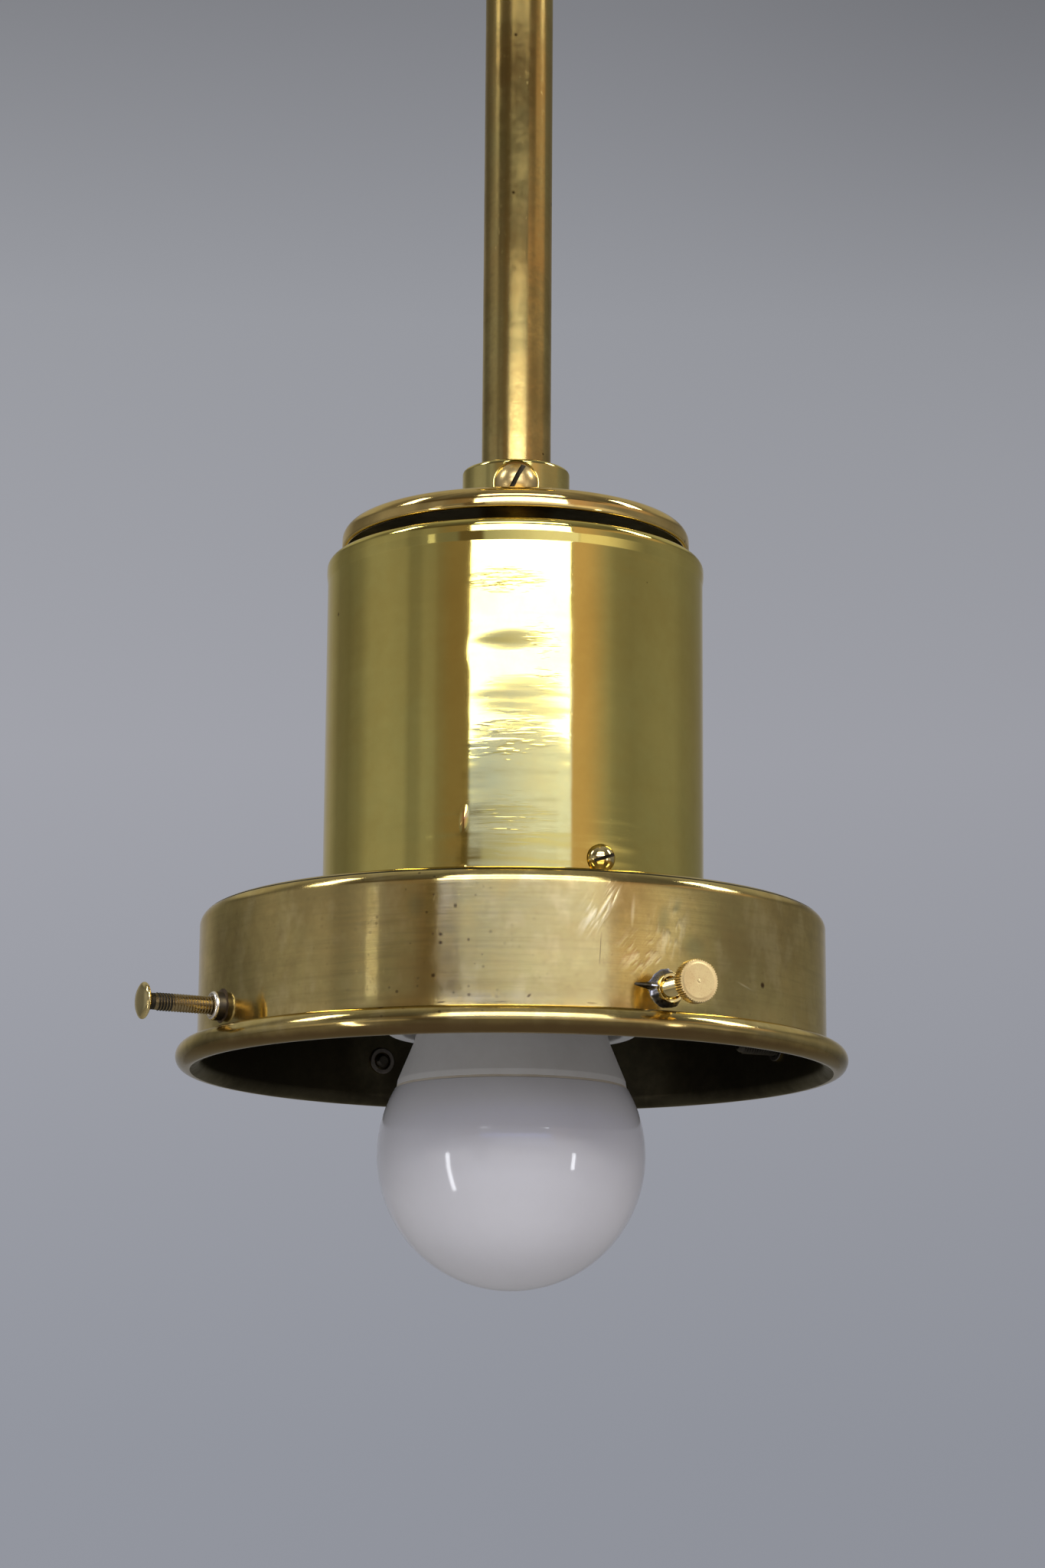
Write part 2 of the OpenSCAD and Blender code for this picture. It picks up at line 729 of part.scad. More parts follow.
// One sheet, followed along its inner face and back along its outer face: down the neck, over the
// plate and shoulder, down the wall and once round the bead, which stops just short of the wall.
module gallery() color(satin_brass) hung() {
    shoulder_x = gallery_r - shoulder_r;
    shoulder_z = gallery_h - shoulder_r;
    bead_x = gallery_ir + bead_r;
    curl_r = bead_r - gallery_wall;
    meets_wall = 360 + acos(-curl_r / bead_r);
    curl_end = meets_wall - bead_slit / bead_r * 180 / PI;
    profile = concat(
        [[neck_ir, gallery_h + neck_h], [neck_ir, plate_under]],
        arc(shoulder_x, shoulder_z, shoulder_r - gallery_wall, 90, 0, edge_steps),
        arc(bead_x, bead_r, bead_r, 180, curl_end, bead_steps),
        arc(bead_x, bead_r, curl_r, curl_end, 180, bead_steps),
        arc(shoulder_x, shoulder_z, shoulder_r, 0, 90, edge_steps),
        [[neck_r, gallery_h], [neck_r, gallery_h + neck_h]]
    );
    difference() {
        rotate_extrude() polygon(profile);
        each_cup_screw() cylinder(d = cup_screw_d, h = cup_r);
        each_thumbscrew() cylinder(r = bush_r, h = gallery_r + cut);
    }
}

// Puts a piece at each thumbscrew, along its axis
module each_thumbscrew() {
    for (i = [0 : 3]) radial(thumb_angle + i * thumb_pitch, thumb_z) children();
}

module gallery_bushes() color(polished_brass) hung() {
    base = gallery_ir - bush_inset;
    length = gallery_wall + bush_inset + bush_proud;
    bore_r = thumb_d / 2 + thumb_play;
    each_thumbscrew() translate([0, 0, base]) difference() {
        tube(bush_r, bore_r, length);
        translate([0, 0, length - bush_chamfer]) {
            cylinder(r1 = bore_r, r2 = bore_r + 2 * bush_chamfer, h = 2 * bush_chamfer);
        }
    }
}

module solder_fillets() color(solder_grey) hung() {
    sunk = 0.4; // into the wall, which is then taken away
    run_h = solder_h + sunk;
    difference() {
        each_thumbscrew() translate([0, 0, gallery_r - sunk]) difference() {
            cylinder(r1 = solder_d / 2, r2 = bush_r + solder_lip, h = run_h);
            translate([0, 0, -cut]) cylinder(r = bush_r, h = run_h + 2 * cut);
        }
        cylinder(r = gallery_r, h = gallery_h, $fn = 720);
    }
}

module knurled_head() {
    outline = [
        for (i = [0 : 2 * knurl_count - 1])
            let (r = knurl_head_d / 2 - (i % 2) * knurl_depth, a = 180 * i / knurl_count)
            [r * cos(a), r * sin(a)]
    ];
    linear_extrude(knurl_head_t) polygon(outline);
}

module plain_head() {
    edge = plain_head_t * 0.4;
    cylinder(d = plain_head_d, h = plain_head_t - edge);
    translate([0, 0, plain_head_t - edge]) cylinder(d1 = plain_head_d, d2 = plain_head_d - edge * 2, h = edge);
}

// Screw number 0 is the right front one, and each next one stands 90 degrees further round.
// Reach counts from the gallery's wall out to the head's face.
module thumbscrew(index, reach, head_t) {
    tip = 0.5;
    face = gallery_r + reach;
    radial(thumb_angle + index * thumb_pitch, thumb_z) {
        translate([0, 0, face - thumb_l]) cylinder(d1 = thumb_d - 2 * tip, d2 = thumb_d, h = tip);
        translate([0, 0, face - thumb_l + tip]) cylinder(d = thumb_d, h = thumb_l - tip - head_t);
        translate([0, 0, face - head_t]) children();
    }
}

module thumbscrew_right() color(satin_brass) hung() {
    thumbscrew(0, right_reach, knurl_head_t) knurled_head();
}

module thumbscrew_rear_right() color(satin_brass) hung() {
    thumbscrew(1, rear_right_reach, knurl_head_t) knurled_head();
}

module thumbscrew_rear_left() color(satin_brass) hung() {
    thumbscrew(2, rear_left_reach, knurl_head_t) knurled_head();
}

module thumbscrew_left() color(satin_brass) hung() {
    thumbscrew(3, left_reach, plain_head_t) plain_head();
}

// Lampholder

module holder_cap() color(white_plastic) hung() {
    steps = 8;
    side_h = 5;
    inner_r = core_r - core_lap;
    dome_z = skirt_top + side_h;
    outer = quarter_ellipse(holder_neck_r, holder_cap_top, holder_r, dome_z, steps);
    inner = quarter_ellipse(nipple_r, nipple_base, inner_r, dome_z, steps);
    profile = concat(
        [[holder_r, skirt_top]],
        reversed(outer),
        [[holder_neck_r, holder_top], [nipple_r, holder_top]],
        inner,
        [[inner_r, skirt_top]]
    );
    difference() {
        rotate_extrude() polygon(profile);
        lock_screw_axis() cylinder(d = lock_screw_d, h = holder_r);
    }
}

module lock_screw_axis() {
    radial(90, holder_cap_top + holder_neck_h / 2) children();
}

module holder_lock_screw() color(steel) hung() {
    stand = 0.6;
    lock_screw_axis() translate([0, 0, nipple_r]) {
        grub_screw(lock_screw_d, holder_neck_r - nipple_r + stand);
    }
}

module holder_core() color([0.93, 0.92, 0.88]) hung() {
    difference() {
        translate([0, 0, core_base]) cylinder(r = core_r, h = core_t);
        translate([live_rivet_x, 0, core_base - cut]) cylinder(d = rivet_d, h = core_t + 2 * cut);
        translate([-neutral_rivet_x, 0, core_base - cut]) cylinder(d = rivet_d, h = core_t + 2 * cut);
    }
}

module holder_skirt() color(white_plastic) hung() {
    edge = 1;
    ledge_ir = shell_r + ledge_gap;
    rotate_extrude() {
        translate([core_r, holder_rise + edge]) square([skirt_wall, skirt_l - edge]);
        translate([core_r, holder_rise]) square([skirt_wall - edge, edge]);
        translate([holder_r - edge, holder_rise + edge]) circle(r = edge, $fn = 32);
        translate([ledge_ir, core_base - ledge_t]) square([core_r - ledge_ir, ledge_t]);
    }
}

module holder_shell() color(polished_brass) hung() {
    translate([0, 0, core_base - shell_l]) tube(shell_r, shell_bore / 2, shell_l);
    translate([0, 0, core_base - shell_t]) tube(shell_r, flange_ir, shell_t);
    translate([-neutral_rivet_x, 0, core_base - shell_t]) cylinder(d = rivet_d, h = core_t + shell_t);
}

module centre_contact() color(polished_brass) hung() {
    low = bulb_tip + strip_gap;
    end = flange_ir - strip_end_gap;
    contact_r = tip_contact_d / 2;
    strip = [
        [end, core_base],
        [strip_bend_high, core_base],
        [strip_bend_low, low + strip_t],
        [-contact_r, low + strip_t],
        [-contact_r, low],
        [strip_bend_low + strip_t / 2, low],
        [strip_bend_high + strip_t / 2, core_base - strip_t],
        [end, core_base - strip_t]
    ];
    translate([0, strip_w / 2, 0]) rotate([90, 0, 0]) linear_extrude(strip_w) polygon(strip);
    translate([live_rivet_x, 0, core_base - strip_t]) cylinder(d = rivet_d, h = core_t + strip_t);
}

module holder_terminals() color(polished_brass) hung() {
    for (side = [-1, 1]) translate([side * terminal_offset, 0, skirt_top]) difference() {
        translate([-terminal_w / 2, -terminal_t / 2, 0]) cube([terminal_w, terminal_t, terminal_h]);
        translate([0, 0, terminal_floor]) cylinder(d = lead_d + 2 * lead_play, h = terminal_h);
        translate([0, 0, terminal_h / 2]) rotate([90, 0, 0]) cylinder(d = clamp_screw_d, h = terminal_t);
    }
}

module terminal_screws() color(steel) hung() {
    shank_l = terminal_t / 2 - lead_d / 2 + clamp_stand;
    for (side = [-1, 1]) {
        translate([side * terminal_offset, -lead_d / 2 - lead_play, skirt_top + terminal_h / 2]) {
            rotate([90, 0, 0]) grub_screw(clamp_screw_d, shank_l);
        }
    }
}

// Bulb

module bulb_tip_contact() color(solder_grey) hung() {
    contact_r = tip_contact_d / 2;
    translate([0, 0, bulb_tip - tip_contact_h]) cylinder(r = contact_r, h = tip_contact_h / 2);
    translate([0, 0, bulb_tip - tip_contact_h / 2]) {
        cylinder(r1 = contact_r, r2 = contact_r - tip_chamfer, h = tip_contact_h / 2);
    }
}

module bulb_insulator() color([0.08, 0.08, 0.09]) hung() {
    cone_h = bulb_nose_h - tip_contact_h;
    top_r = tip_contact_d / 2 + insulator_lip;
    translate([0, 0, bulb_cap_top - insulator_t]) cylinder(r = insulator_r, h = insulator_t);
    translate([0, 0, bulb_cap_top]) cylinder(r1 = insulator_r, r2 = top_r, h = cone_h);
}

module bulb_cap_shell() color(steel) hung() {
    slope_h = 1.4;
    profile = [
        [bulb_cap_r, bulb_cap_base],
        [bulb_cap_r, bulb_cap_top - slope_h],
        [bulb_crown_r, bulb_cap_top],
        [insulator_r, bulb_cap_top],
        [insulator_r, bulb_cap_top - bulb_cap_t],
        [bulb_crown_r - 0.2, bulb_cap_top - bulb_cap_t],
        [bulb_cap_r - bulb_cap_t, bulb_cap_top - slope_h],
        [bulb_cap_r - bulb_cap_t, bulb_cap_base]
    ];
    rotate_extrude() polygon(profile);
}

module bulb_housing() color(white_plastic) hung() {
    neck_outer = bulb_cap_r - bulb_cap_t;
    neck_inner = neck_outer - housing_wall;
    waist_z = seam_z + housing_waist_rise;
    rebate_z = seam_z + led_plate_t;
    profile = [
        [housing_r, seam_z],
        [housing_waist_r, waist_z],
        [bulb_cap_r + housing_lip, bulb_cap_base],
        [neck_outer, bulb_cap_base],
        [neck_outer, bulb_cap_base + spigot_h],
        [neck_inner, bulb_cap_base + spigot_h],
        [neck_inner, bulb_cap_base - housing_wall],
        [housing_waist_r - housing_wall, waist_z],
        [housing_r - housing_wall - rebate_w, rebate_z],
        [housing_r - housing_wall, rebate_z],
        [housing_r - housing_wall, seam_z]
    ];
    rotate_extrude() polygon(profile);
}

module driver_board() color([0.20, 0.42, 0.24]) hung() {
    board_base = seam_z + led_plate_t;
    board_h = bulb_cap_base + board_reach - board_base;
    translate([-board_w / 2, -board_t / 2, board_base]) cube([board_w, board_t, board_h]);
    translate([0, capacitor_r + board_t / 4, board_base + capacitor_rise]) {
        cylinder(r = capacitor_r, h = capacitor_h);
    }
    translate([-coil_w / 2, -coil_t, board_base + coil_rise]) cube([coil_w, coil_t, coil_w]);
}

module led_plate() color([0.85, 0.86, 0.88]) hung() {
    translate([0, 0, seam_z]) cylinder(r = housing_r - housing_wall, h = led_plate_t);
}

module led_chips() color([0.95, 0.85, 0.45]) hung() {
    for (i = [0 : led_count - 1]) rotate([0, 0, i * 360 / led_count]) {
        translate([led_circle_d / 2 - led_side / 2, -led_side / 2, seam_z - chip_t]) {
            cube([led_side, led_side, chip_t]);
        }
    }
}

module bulb_globe() color(opal) hung() {
    translate([0, 0, globe_z]) difference() {
        sphere(r = globe_r);
        sphere(r = globe_r - globe_wall);
        translate([-globe_r, -globe_r, seam_rise]) cube([globe_d, globe_d, globe_r]);
    }
}

hanging_eye();
upper_nipple();
terminal_block();
block_tubes();
block_screws();
block_fixing_screw();
live_lead();
neutral_lead();
canopy();
canopy_collar();
canopy_set_screw();
rod();
cover_collar();
cover_set_screw();
cup_cover();
cup();
lower_nipple();
nipple_washer();
nipple_nut();
cup_screws();
gallery();
gallery_bushes();
solder_fillets();
thumbscrew_right();
thumbscrew_left();
thumbscrew_rear_left();
thumbscrew_rear_right();
holder_cap();
holder_lock_screw();
holder_core();
holder_skirt();
holder_shell();
centre_contact();
holder_terminals();
terminal_screws();
bulb_tip_contact();
bulb_insulator();
bulb_cap_shell();
bulb_housing();
driver_board();
led_plate();
led_chips();
bulb_globe();
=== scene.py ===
"""Looks of the brass pendant light, round its fixed frame.

Pieces are shaped in millimetres, in heights above the gallery's lower edge, and go to their place
in the frame when they are finished.
"""
import math

import bmesh
import bpy
from mathutils import Matrix, Vector, noise


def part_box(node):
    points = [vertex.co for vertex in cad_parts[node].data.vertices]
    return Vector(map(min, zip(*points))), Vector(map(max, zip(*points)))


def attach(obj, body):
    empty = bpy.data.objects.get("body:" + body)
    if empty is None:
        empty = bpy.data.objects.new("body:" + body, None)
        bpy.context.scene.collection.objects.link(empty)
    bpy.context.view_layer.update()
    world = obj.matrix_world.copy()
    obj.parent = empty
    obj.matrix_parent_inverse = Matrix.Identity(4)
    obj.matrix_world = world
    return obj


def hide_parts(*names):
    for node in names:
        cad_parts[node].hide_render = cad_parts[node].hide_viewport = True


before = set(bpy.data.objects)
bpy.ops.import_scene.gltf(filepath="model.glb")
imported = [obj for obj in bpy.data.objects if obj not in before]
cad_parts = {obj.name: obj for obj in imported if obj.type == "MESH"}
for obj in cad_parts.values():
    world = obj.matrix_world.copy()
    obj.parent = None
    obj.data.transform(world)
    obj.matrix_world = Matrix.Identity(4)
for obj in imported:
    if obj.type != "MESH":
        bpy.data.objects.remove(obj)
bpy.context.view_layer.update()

bpy.context.scene.view_settings.view_transform = "Standard"

MM = 0.001
EDGE_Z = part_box("gallery")[0].z

# Camera, as fitted to the photograph's rings and edges
PHOTO_H = 2048
CAMERA_FOCAL_PX = 4624.4
CAMERA_DISTANCE = 592.6
CAMERA_DROP = 71.2
CAMERA_PITCH = 0.2017
CAMERA_YAW = -0.0025
CAMERA_ROLL = 0.0069

# Smoothness of what is spun or eased
ROUND_STEPS = 192
SMALL_STEPS = 64
THREAD_STEPS = 48
EASE_STEPS = 5
HOLD_SHARE = 0.2
SHARP_ANGLE = 35


def low(name):
    """Height of a node's lowest point above the gallery's edge, in millimetres."""
    return (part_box(name)[0].z - EDGE_Z) / MM


def high(name):
    return (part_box(name)[1].z - EDGE_Z) / MM


def half_width(name):
    lowest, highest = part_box(name)
    return (highest.x - lowest.x) / 2 / MM


# Sizes that the frame's boxes give
GALLERY_H = low("cup")
CUP_R = half_width("cup")
CUP_TOP = high("cup")
COVER_EDGE = low("cup_cover")
COVER_SEAT = high("cup_cover")
COVER_R = half_width("cup_cover")
COLLAR_R = half_width("cover_collar")
COLLAR_H = high("cover_collar") - low("cover_collar")
CANOPY_COLLAR = low("canopy_collar")
CANOPY_BASE = low("canopy")
CANOPY_TOP = high("canopy")
ROD_R = half_width("rod")
ROD_TOP = high("rod")
SKIRT_EDGE = low("holder_skirt")
SKIRT_TOP = high("holder_skirt")
HOLDER_R = half_width("holder_skirt")
SHELL_BASE = low("holder_shell")
GLOBE_BASE = low("bulb_globe")
GLOBE_SEAM = high("bulb_globe")
GLOBE_R = half_width("bulb_globe")
BULB_CAP_BASE = low("bulb_cap_shell")
BULB_CAP_TOP = high("bulb_cap_shell")
BULB_CAP_R = half_width("bulb_cap_shell")
THUMB_Z = (low("thumbscrew_left") + high("thumbscrew_left")) / 2

# Sizes of the real pieces that no box gives
SHEET = 0.8
GALLERY_R = 52.8
SHOULDER_R = 2.5
BEAD_R = 2.2
NECK_TOP = 35.0
NECK_R = 31.6
NIPPLE_HOLE_R = 5.1
NIPPLE_R = 5.0
SLIDE_R = 6.06
THUMB_ANGLE = 27
LEFT = 3  # the left thumbscrew's place; the only plain one
SHANK_R = 1.5
BUSH_R = 2.35
BUSH_PROUD = 1.9
BUSH_INSET = 0.5
SOLDER_R = 3.1
TAIL_WIDTH = 0.11
VENT_COUNT = 6
VENT_R = 4.0
VENT_CIRCLE_R = 20.0
SCREW_ANGLE = 26
SET_RISE = 5.4
SET_SINK = 0.9
SET_HEAD_R = 3.8
CORE_T = 5.0
THREAD_PITCH = 3.629

# Floor, in metres
FLOOR_RADIUS = 6.0
FLOOR_Z = -1.3


# Outlines

def arc(x, z, radius, start, end, steps):
    """Points along an arc round (x, z), between two angles in degrees."""
    angles = [math.radians(start + (end - start) * i / steps) for i in range(steps + 1)]
    return [(x + radius * math.cos(a), z + radius * math.sin(a)) for a in angles]


def eased(corners, steps=EASE_STEPS):
    """A closed outline whose corners (x, z, radius) become arcs.

    A point just off each end of an arc keeps the straight stretches straight under smooth shading.
    In the plane slerp gives directions of length 1, so each is taken times the radius.
    """
    outline = []
    for before, here, after in zip(corners[-1:] + corners[:-1], corners, corners[1:] + corners[:1]):
        point = Vector(here[:2])
        radius = here[2]
        if not radius:
            outline.append(tuple(point))
            continue
        back = (Vector(before[:2]) - point).normalized()
        on = (Vector(after[:2]) - point).normalized()
        half = back.angle(on) / 2
        reach = radius / math.tan(half)
        centre = point + (back + on).normalized() * radius / math.sin(half)
        first = point + back * reach - centre
        last = point + on * reach - centre
        hold = radius * HOLD_SHARE
        outline.append(tuple(point + back * (reach + hold)))
        outline += [tuple(centre + radius * first.slerp(last, i / steps)) for i in range(steps + 1)]
        outline.append(tuple(point + on * (reach + hold)))
    return outline


def square_ring(inner, outer, base, top, easing):
    """The outline of a plain ring; easing is the radius of each corner, from the inner base on."""
    corners = ((inner, base), (outer, base), (outer, top), (inner, top))
    return eased([(*corner, radius) for corner, radius in zip(corners, easing)])


# Mesh helpers

def line_up(outline, closed=True):
    """Points and edges of an outline of (radius, height), ready to be spun."""
    made = bmesh.new()
    points = [made.verts.new((r, 0, z)) for r, z in outline]
    lines = [made.edges.new(pair) for pair in zip(points, points[1:])]
    if closed:
        lines.append(made.edges.new((points[-1], points[0])))
    return made, points + lines


def spun(outline, steps=ROUND_STEPS):
    """An outline turned once round the upright axis."""
    made, line = line_up(outline)
    bmesh.ops.spin(made, geom=line, cent=(0, 0, 0), axis=(0, 0, 1), angle=math.tau, steps=steps,
                   use_merge=True)
    bmesh.ops.remove_doubles(made, verts=made.verts, dist=1e-4)
    bmesh.ops.recalc_face_normals(made, faces=made.faces)
    return made


def wound(made, line, turns, rise, steps):
    """A line wound up the axis."""
    bmesh.ops.spin(made, geom=line, cent=(0, 0, 0), axis=(0, 0, 1), dvec=(0, 0, rise / steps),
                   angle=math.tau * turns, steps=steps)
    return made


def coil(section, radius_in, pitch, start, end, steps):
    """A screw thread's tooth: a section of (radius, height) points, wound up the axis."""
    turns = (end - start) / pitch
    section = [(radius_in, section[0][1])] + section + [(radius_in, section[-1][1])]
    made, line = line_up([(r, start + z) for r, z in section])
    wound(made, line, turns, end - start, round(steps * turns))
    rims = [e for e in made.edges if e.is_boundary]
    bmesh.ops.holes_fill(made, edges=rims, sides=0)
    bmesh.ops.recalc_face_normals(made, faces=made.faces)
    return made


def as_mesh(name, made):
    mesh = bpy.data.meshes.new(name)
    made.to_mesh(mesh)
    made.free()
    return mesh


def as_object(name, data):
    obj = bpy.data.objects.new(name, data)
    bpy.context.scene.collection.objects.link(obj)
    return obj


def add_mesh(target, extra):
    """Puts a second closed shape into the same piece."""
    carrier = as_mesh("carrier", extra)
    target.from_mesh(carrier)
    bpy.data.meshes.remove(carrier)
    return target


def moved(made, matrix):
    bmesh.ops.transform(made, matrix=matrix, verts=made.verts)
    return made


def turned(angle, axis="Z"):
    return Matrix.Rotation(math.radians(angle), 4, axis)


def up(height):
    return Matrix.Translation((0, 0, height))


def outwards(angle, height):
    """Turns what was shaped along +Z so that it points outwards, at an angle from the front."""
    return turned(angle) @ up(height) @ turned(90, "X")


def mark(made, index, test):
    """Gives another of the piece's materials to the faces whose middle passes a test."""
    for face in made.faces:
        if test(face.calc_center_median()):
            face.material_index = index
    return made


def piece(name, made, body, node, slot, *materials):
    """Finishes a piece: its mesh goes to its place in the frame, and it stands for its node."""
    bmesh.ops.scale(made, vec=(MM, MM, MM), verts=made.verts)
    bmesh.ops.translate(made, vec=(0, 0, EDGE_Z), verts=made.verts)
    mesh = as_mesh(name, made)
    mesh.polygons.foreach_set("use_smooth", [True] * len(mesh.polygons))
    mesh.set_sharp_from_angle(angle=math.radians(SHARP_ANGLE))
    for material in materials:
        mesh.materials.append(material)
    obj = as_object(name, mesh)
    if node:
        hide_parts(node)
    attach(obj, body)


def cut(made, cutter):
    """Takes one closed shape away from another."""
    whole, tool = [as_object("cut", as_mesh("cut", shape)) for shape in (made, cutter)]
    boolean = whole.modifiers.new("cut", "BOOLEAN")
    boolean.operation = "DIFFERENCE"
    boolean.solver = "EXACT"
    boolean.object = tool
    result = whole.evaluated_get(bpy.context.evaluated_depsgraph_get()).to_mesh()
    left = bmesh.new()
    left.from_mesh(result)
    for obj in (whole, tool):
        mesh = obj.data
        bpy.data.objects.remove(obj)
        bpy.data.meshes.remove(mesh)
    return left


def drill(radius, length, steps=SMALL_STEPS):
    """A round cutter along +Z, from its origin."""
    made = bmesh.new()
    bmesh.ops.create_cone(made, cap_ends=True, segments=steps, radius1=radius, radius2=radius,
                          depth=length)
    return moved(made, up(length / 2))


def block(width, depth, height):
    """A box round its origin."""
    made = bmesh.new()
    bmesh.ops.create_cube(made, size=1)
    bmesh.ops.scale(made, vec=(width, depth, height), verts=made.verts)
    return made


def slotted_head(radius, height, slot_angle, slot_width, slot_depth):
    """A domed screw head on the plane below it, with its slot cut across the dome."""
    dome_r = (radius * radius + height * height) / (2 * height)
    rise = math.degrees(math.asin((dome_r - height) / dome_r))
    dome = arc(0, height - dome_r, dome_r, rise + 6, 90, 14)
    brim = dome[0]
    outline = [(0, -0.3), (radius - 0.15, -0.3), (radius - 0.15, 0), (radius, 0.12), brim] + dome[1:]
    turn = turned(slot_angle)
    slot = moved(block(radius * 3, slot_width, height), turn @ up(height * 1.5 - slot_depth))
    # The slot's faces take the second material, dark as painted shade in the slot.
    return mark(cut(spun(outline, steps=SMALL_STEPS), slot), 1, lambda centre: (
        abs((turn.inverted() @ centre).y) < slot_width / 2 + 0.02
        and centre.z > height - slot_depth - 0.02))


# Shader helpers

def feed(tree, value, socket):
    """Gives a socket a plain value, an (r, g, b) colour or another node's output."""
    if isinstance(value, bpy.types.NodeSocket):
        tree.links.new(value, socket)
    elif socket.type == "RGBA":
        socket.default_value = (*value, 1.0)
    else:
        socket.default_value = value


def add_node(tree, kind, inputs=None, **settings):
    """One shader node; an input takes a value or another node's output."""
    made = tree.nodes.new("ShaderNode" + kind)
    for name, value in settings.items():
        setattr(made, name, value)
    for name, value in (inputs or {}).items():
        feed(tree, value, made.inputs[name])
    return made


def calculate(tree, operation, first, second=0.0, clamp=False):
    return add_node(tree, "Math", {0: first, 1: second}, operation=operation,
                    use_clamp=clamp).outputs[0]


def times(tree, first, second, clamp=False):
    return calculate(tree, "MULTIPLY", first, second, clamp)


def plus(tree, first, second):
    return calculate(tree, "ADD", first, second)


def strongest(tree, masks):
    result = masks[0]
    for mask in masks[1:]:
        result = calculate(tree, "MAXIMUM", result, mask)
    return result


def ramp(tree, value, start, end, low_value=0.0, high_value=1.0, kind="SMOOTHSTEP"):
    return add_node(tree, "MapRange", {"Value": value, "From Min": start, "From Max": end,
                                       "To Min": low_value, "To Max": high_value},
                    interpolation_type=kind).outputs["Result"]


def between(tree, value, rise, full, fall, end):
    """A mask that rises to 1 between the first two values and falls back between the last two."""
    return times(tree, ramp(tree, value, rise, full), ramp(tree, value, fall, end, 1.0, 0.0))


def band(tree, value, start, end, soft):
    """A mask that is 1 between two values and fades out over soft on both sides."""
    return between(tree, value, start - soft, start + soft, end - soft, end + soft)


def clouds(tree, place, scale, detail, roughness=0.5):
    """Plain noise at a point, as a value."""
    return add_node(tree, "TexNoise", {"Vector": place, "Scale": scale, "Detail": detail,
                                       "Roughness": roughness}).outputs[0]


def mix_colour(tree, factor, first, second, blend="MIX"):
    mixed = add_node(tree, "Mix", data_type="RGBA", blend_type=blend)
    for index, value in ((0, factor), (6, first), (7, second)):
        feed(tree, value, mixed.inputs[index])
    return mixed.outputs[2]


def object_point(tree, scale=(1, 1, 1), turn=(0, 0, 0)):
    """The point on the piece, in its own coordinates, stretched and turned."""
    place = add_node(tree, "TexCoord").outputs["Object"]
    return add_node(tree, "Mapping", {"Vector": place, "Scale": scale, "Rotation": turn}).outputs[0]


def gradient(tree, value, stops, start, end):
    """Colours that run from stop to stop: (value, (r, g, b))."""
    made = add_node(tree, "ValToRGB", {"Fac": ramp(tree, value, start, end, kind="LINEAR")})
    elements = made.color_ramp.elements
    while len(elements) < len(stops):
        elements.new(0.5)
    for element, (place, colour) in zip(elements, stops):
        element.position = (place - start) / (end - start)
        element.color = (*colour, 1.0)
    return made.outputs["Color"]


# Effects that several materials share

def new_group(name, **defaults):
    """An empty node group with its inputs; a default is a number or a colour."""
    tree = bpy.data.node_groups.new(name, "ShaderNodeTree")
    for label, value in defaults.items():
        colour = isinstance(value, tuple)
        socket = tree.interface.new_socket(
            label, in_out="INPUT", socket_type="NodeSocketColor" if colour else "NodeSocketFloat")
        socket.default_value = (*value, 1.0) if colour else value
    return tree, tree.nodes.new("NodeGroupInput").outputs


def close_group(tree, **results):
    """Gives a node group its outputs: a colour called Color, and numbers."""
    for label in results:
        kind = "NodeSocketColor" if label == "Color" else "NodeSocketFloat"
        tree.interface.new_socket(label, in_out="OUTPUT", socket_type=kind)
    out = tree.nodes.new("NodeGroupOutput")
    for label, value in results.items():
        tree.links.new(value, out.inputs[label])
    return tree


def make_patina_group():
    """Blotches of tarnish, large and small, between a clean and a tarnished colour."""
    tree, given = new_group("Patina", Clean=(1, 1, 1), Tarnished=(0, 0, 0), Amount=0.5,
                            Scale=60.0)
    place = object_point(tree)
    large = clouds(tree, place, given["Scale"], 4.0, 0.6)
    fine = clouds(tree, place, times(tree, given["Scale"], 9.0), 3.0, 0.7)
    blotch = ramp(tree, plus(tree, large, times(tree, fine, 0.35)), 0.48, 0.92)
    mask = times(tree, blotch, given["Amount"], clamp=True)
    colour = mix_colour(tree, mask, given["Clean"], given["Tarnished"])
    return close_group(tree, Color=colour, Mask=mask)


def make_turning_group():
    """Level lines left by turning or spinning, as a height."""
    tree, given = new_group("Turning marks", Lines=1500.0, Depth=1e-6)
    lines = clouds(tree, object_point(tree, (0.012, 0.012, 1)), given["Lines"], 3.0, 0.75)
    return close_group(tree, Height=times(tree, lines, given["Depth"]))


def make_undulation_group():
    """The slow unevenness of thin sheet, longer round the piece than up it, as a height."""
    tree, given = new_group("Undulation", Scale=40.0, Depth=3e-5, Stretch=2.4)
    upright = add_node(tree, "CombineXYZ", {0: 1.0, 1: 1.0, 2: given["Stretch"]})
    place = add_node(tree, "VectorMath", {0: object_point(tree), 1: upright.outputs[0]},
                     operation="MULTIPLY").outputs["Vector"]
    waves = clouds(tree, place, given["Scale"], 1.5, 0.35)
    return close_group(tree, Height=times(tree, waves, given["Depth"]))


def make_hairline_group():
    """Fine scratches in two crossing directions, as a mask."""
    tree, given = new_group("Hairlines", Scale=60.0, Amount=0.5)
    masks = []
    for turn, stretch in (((0.2, 0.9, 0.4), (1, 26, 9)), ((0.9, 0.1, 1.3), (24, 1, 12))):
        lines = clouds(tree, object_point(tree, stretch, turn), given["Scale"], 2.0)
        masks.append(ramp(tree, lines, 0.66, 0.74))
    return close_group(tree, Mask=times(tree, strongest(tree, masks), given["Amount"], clamp=True))


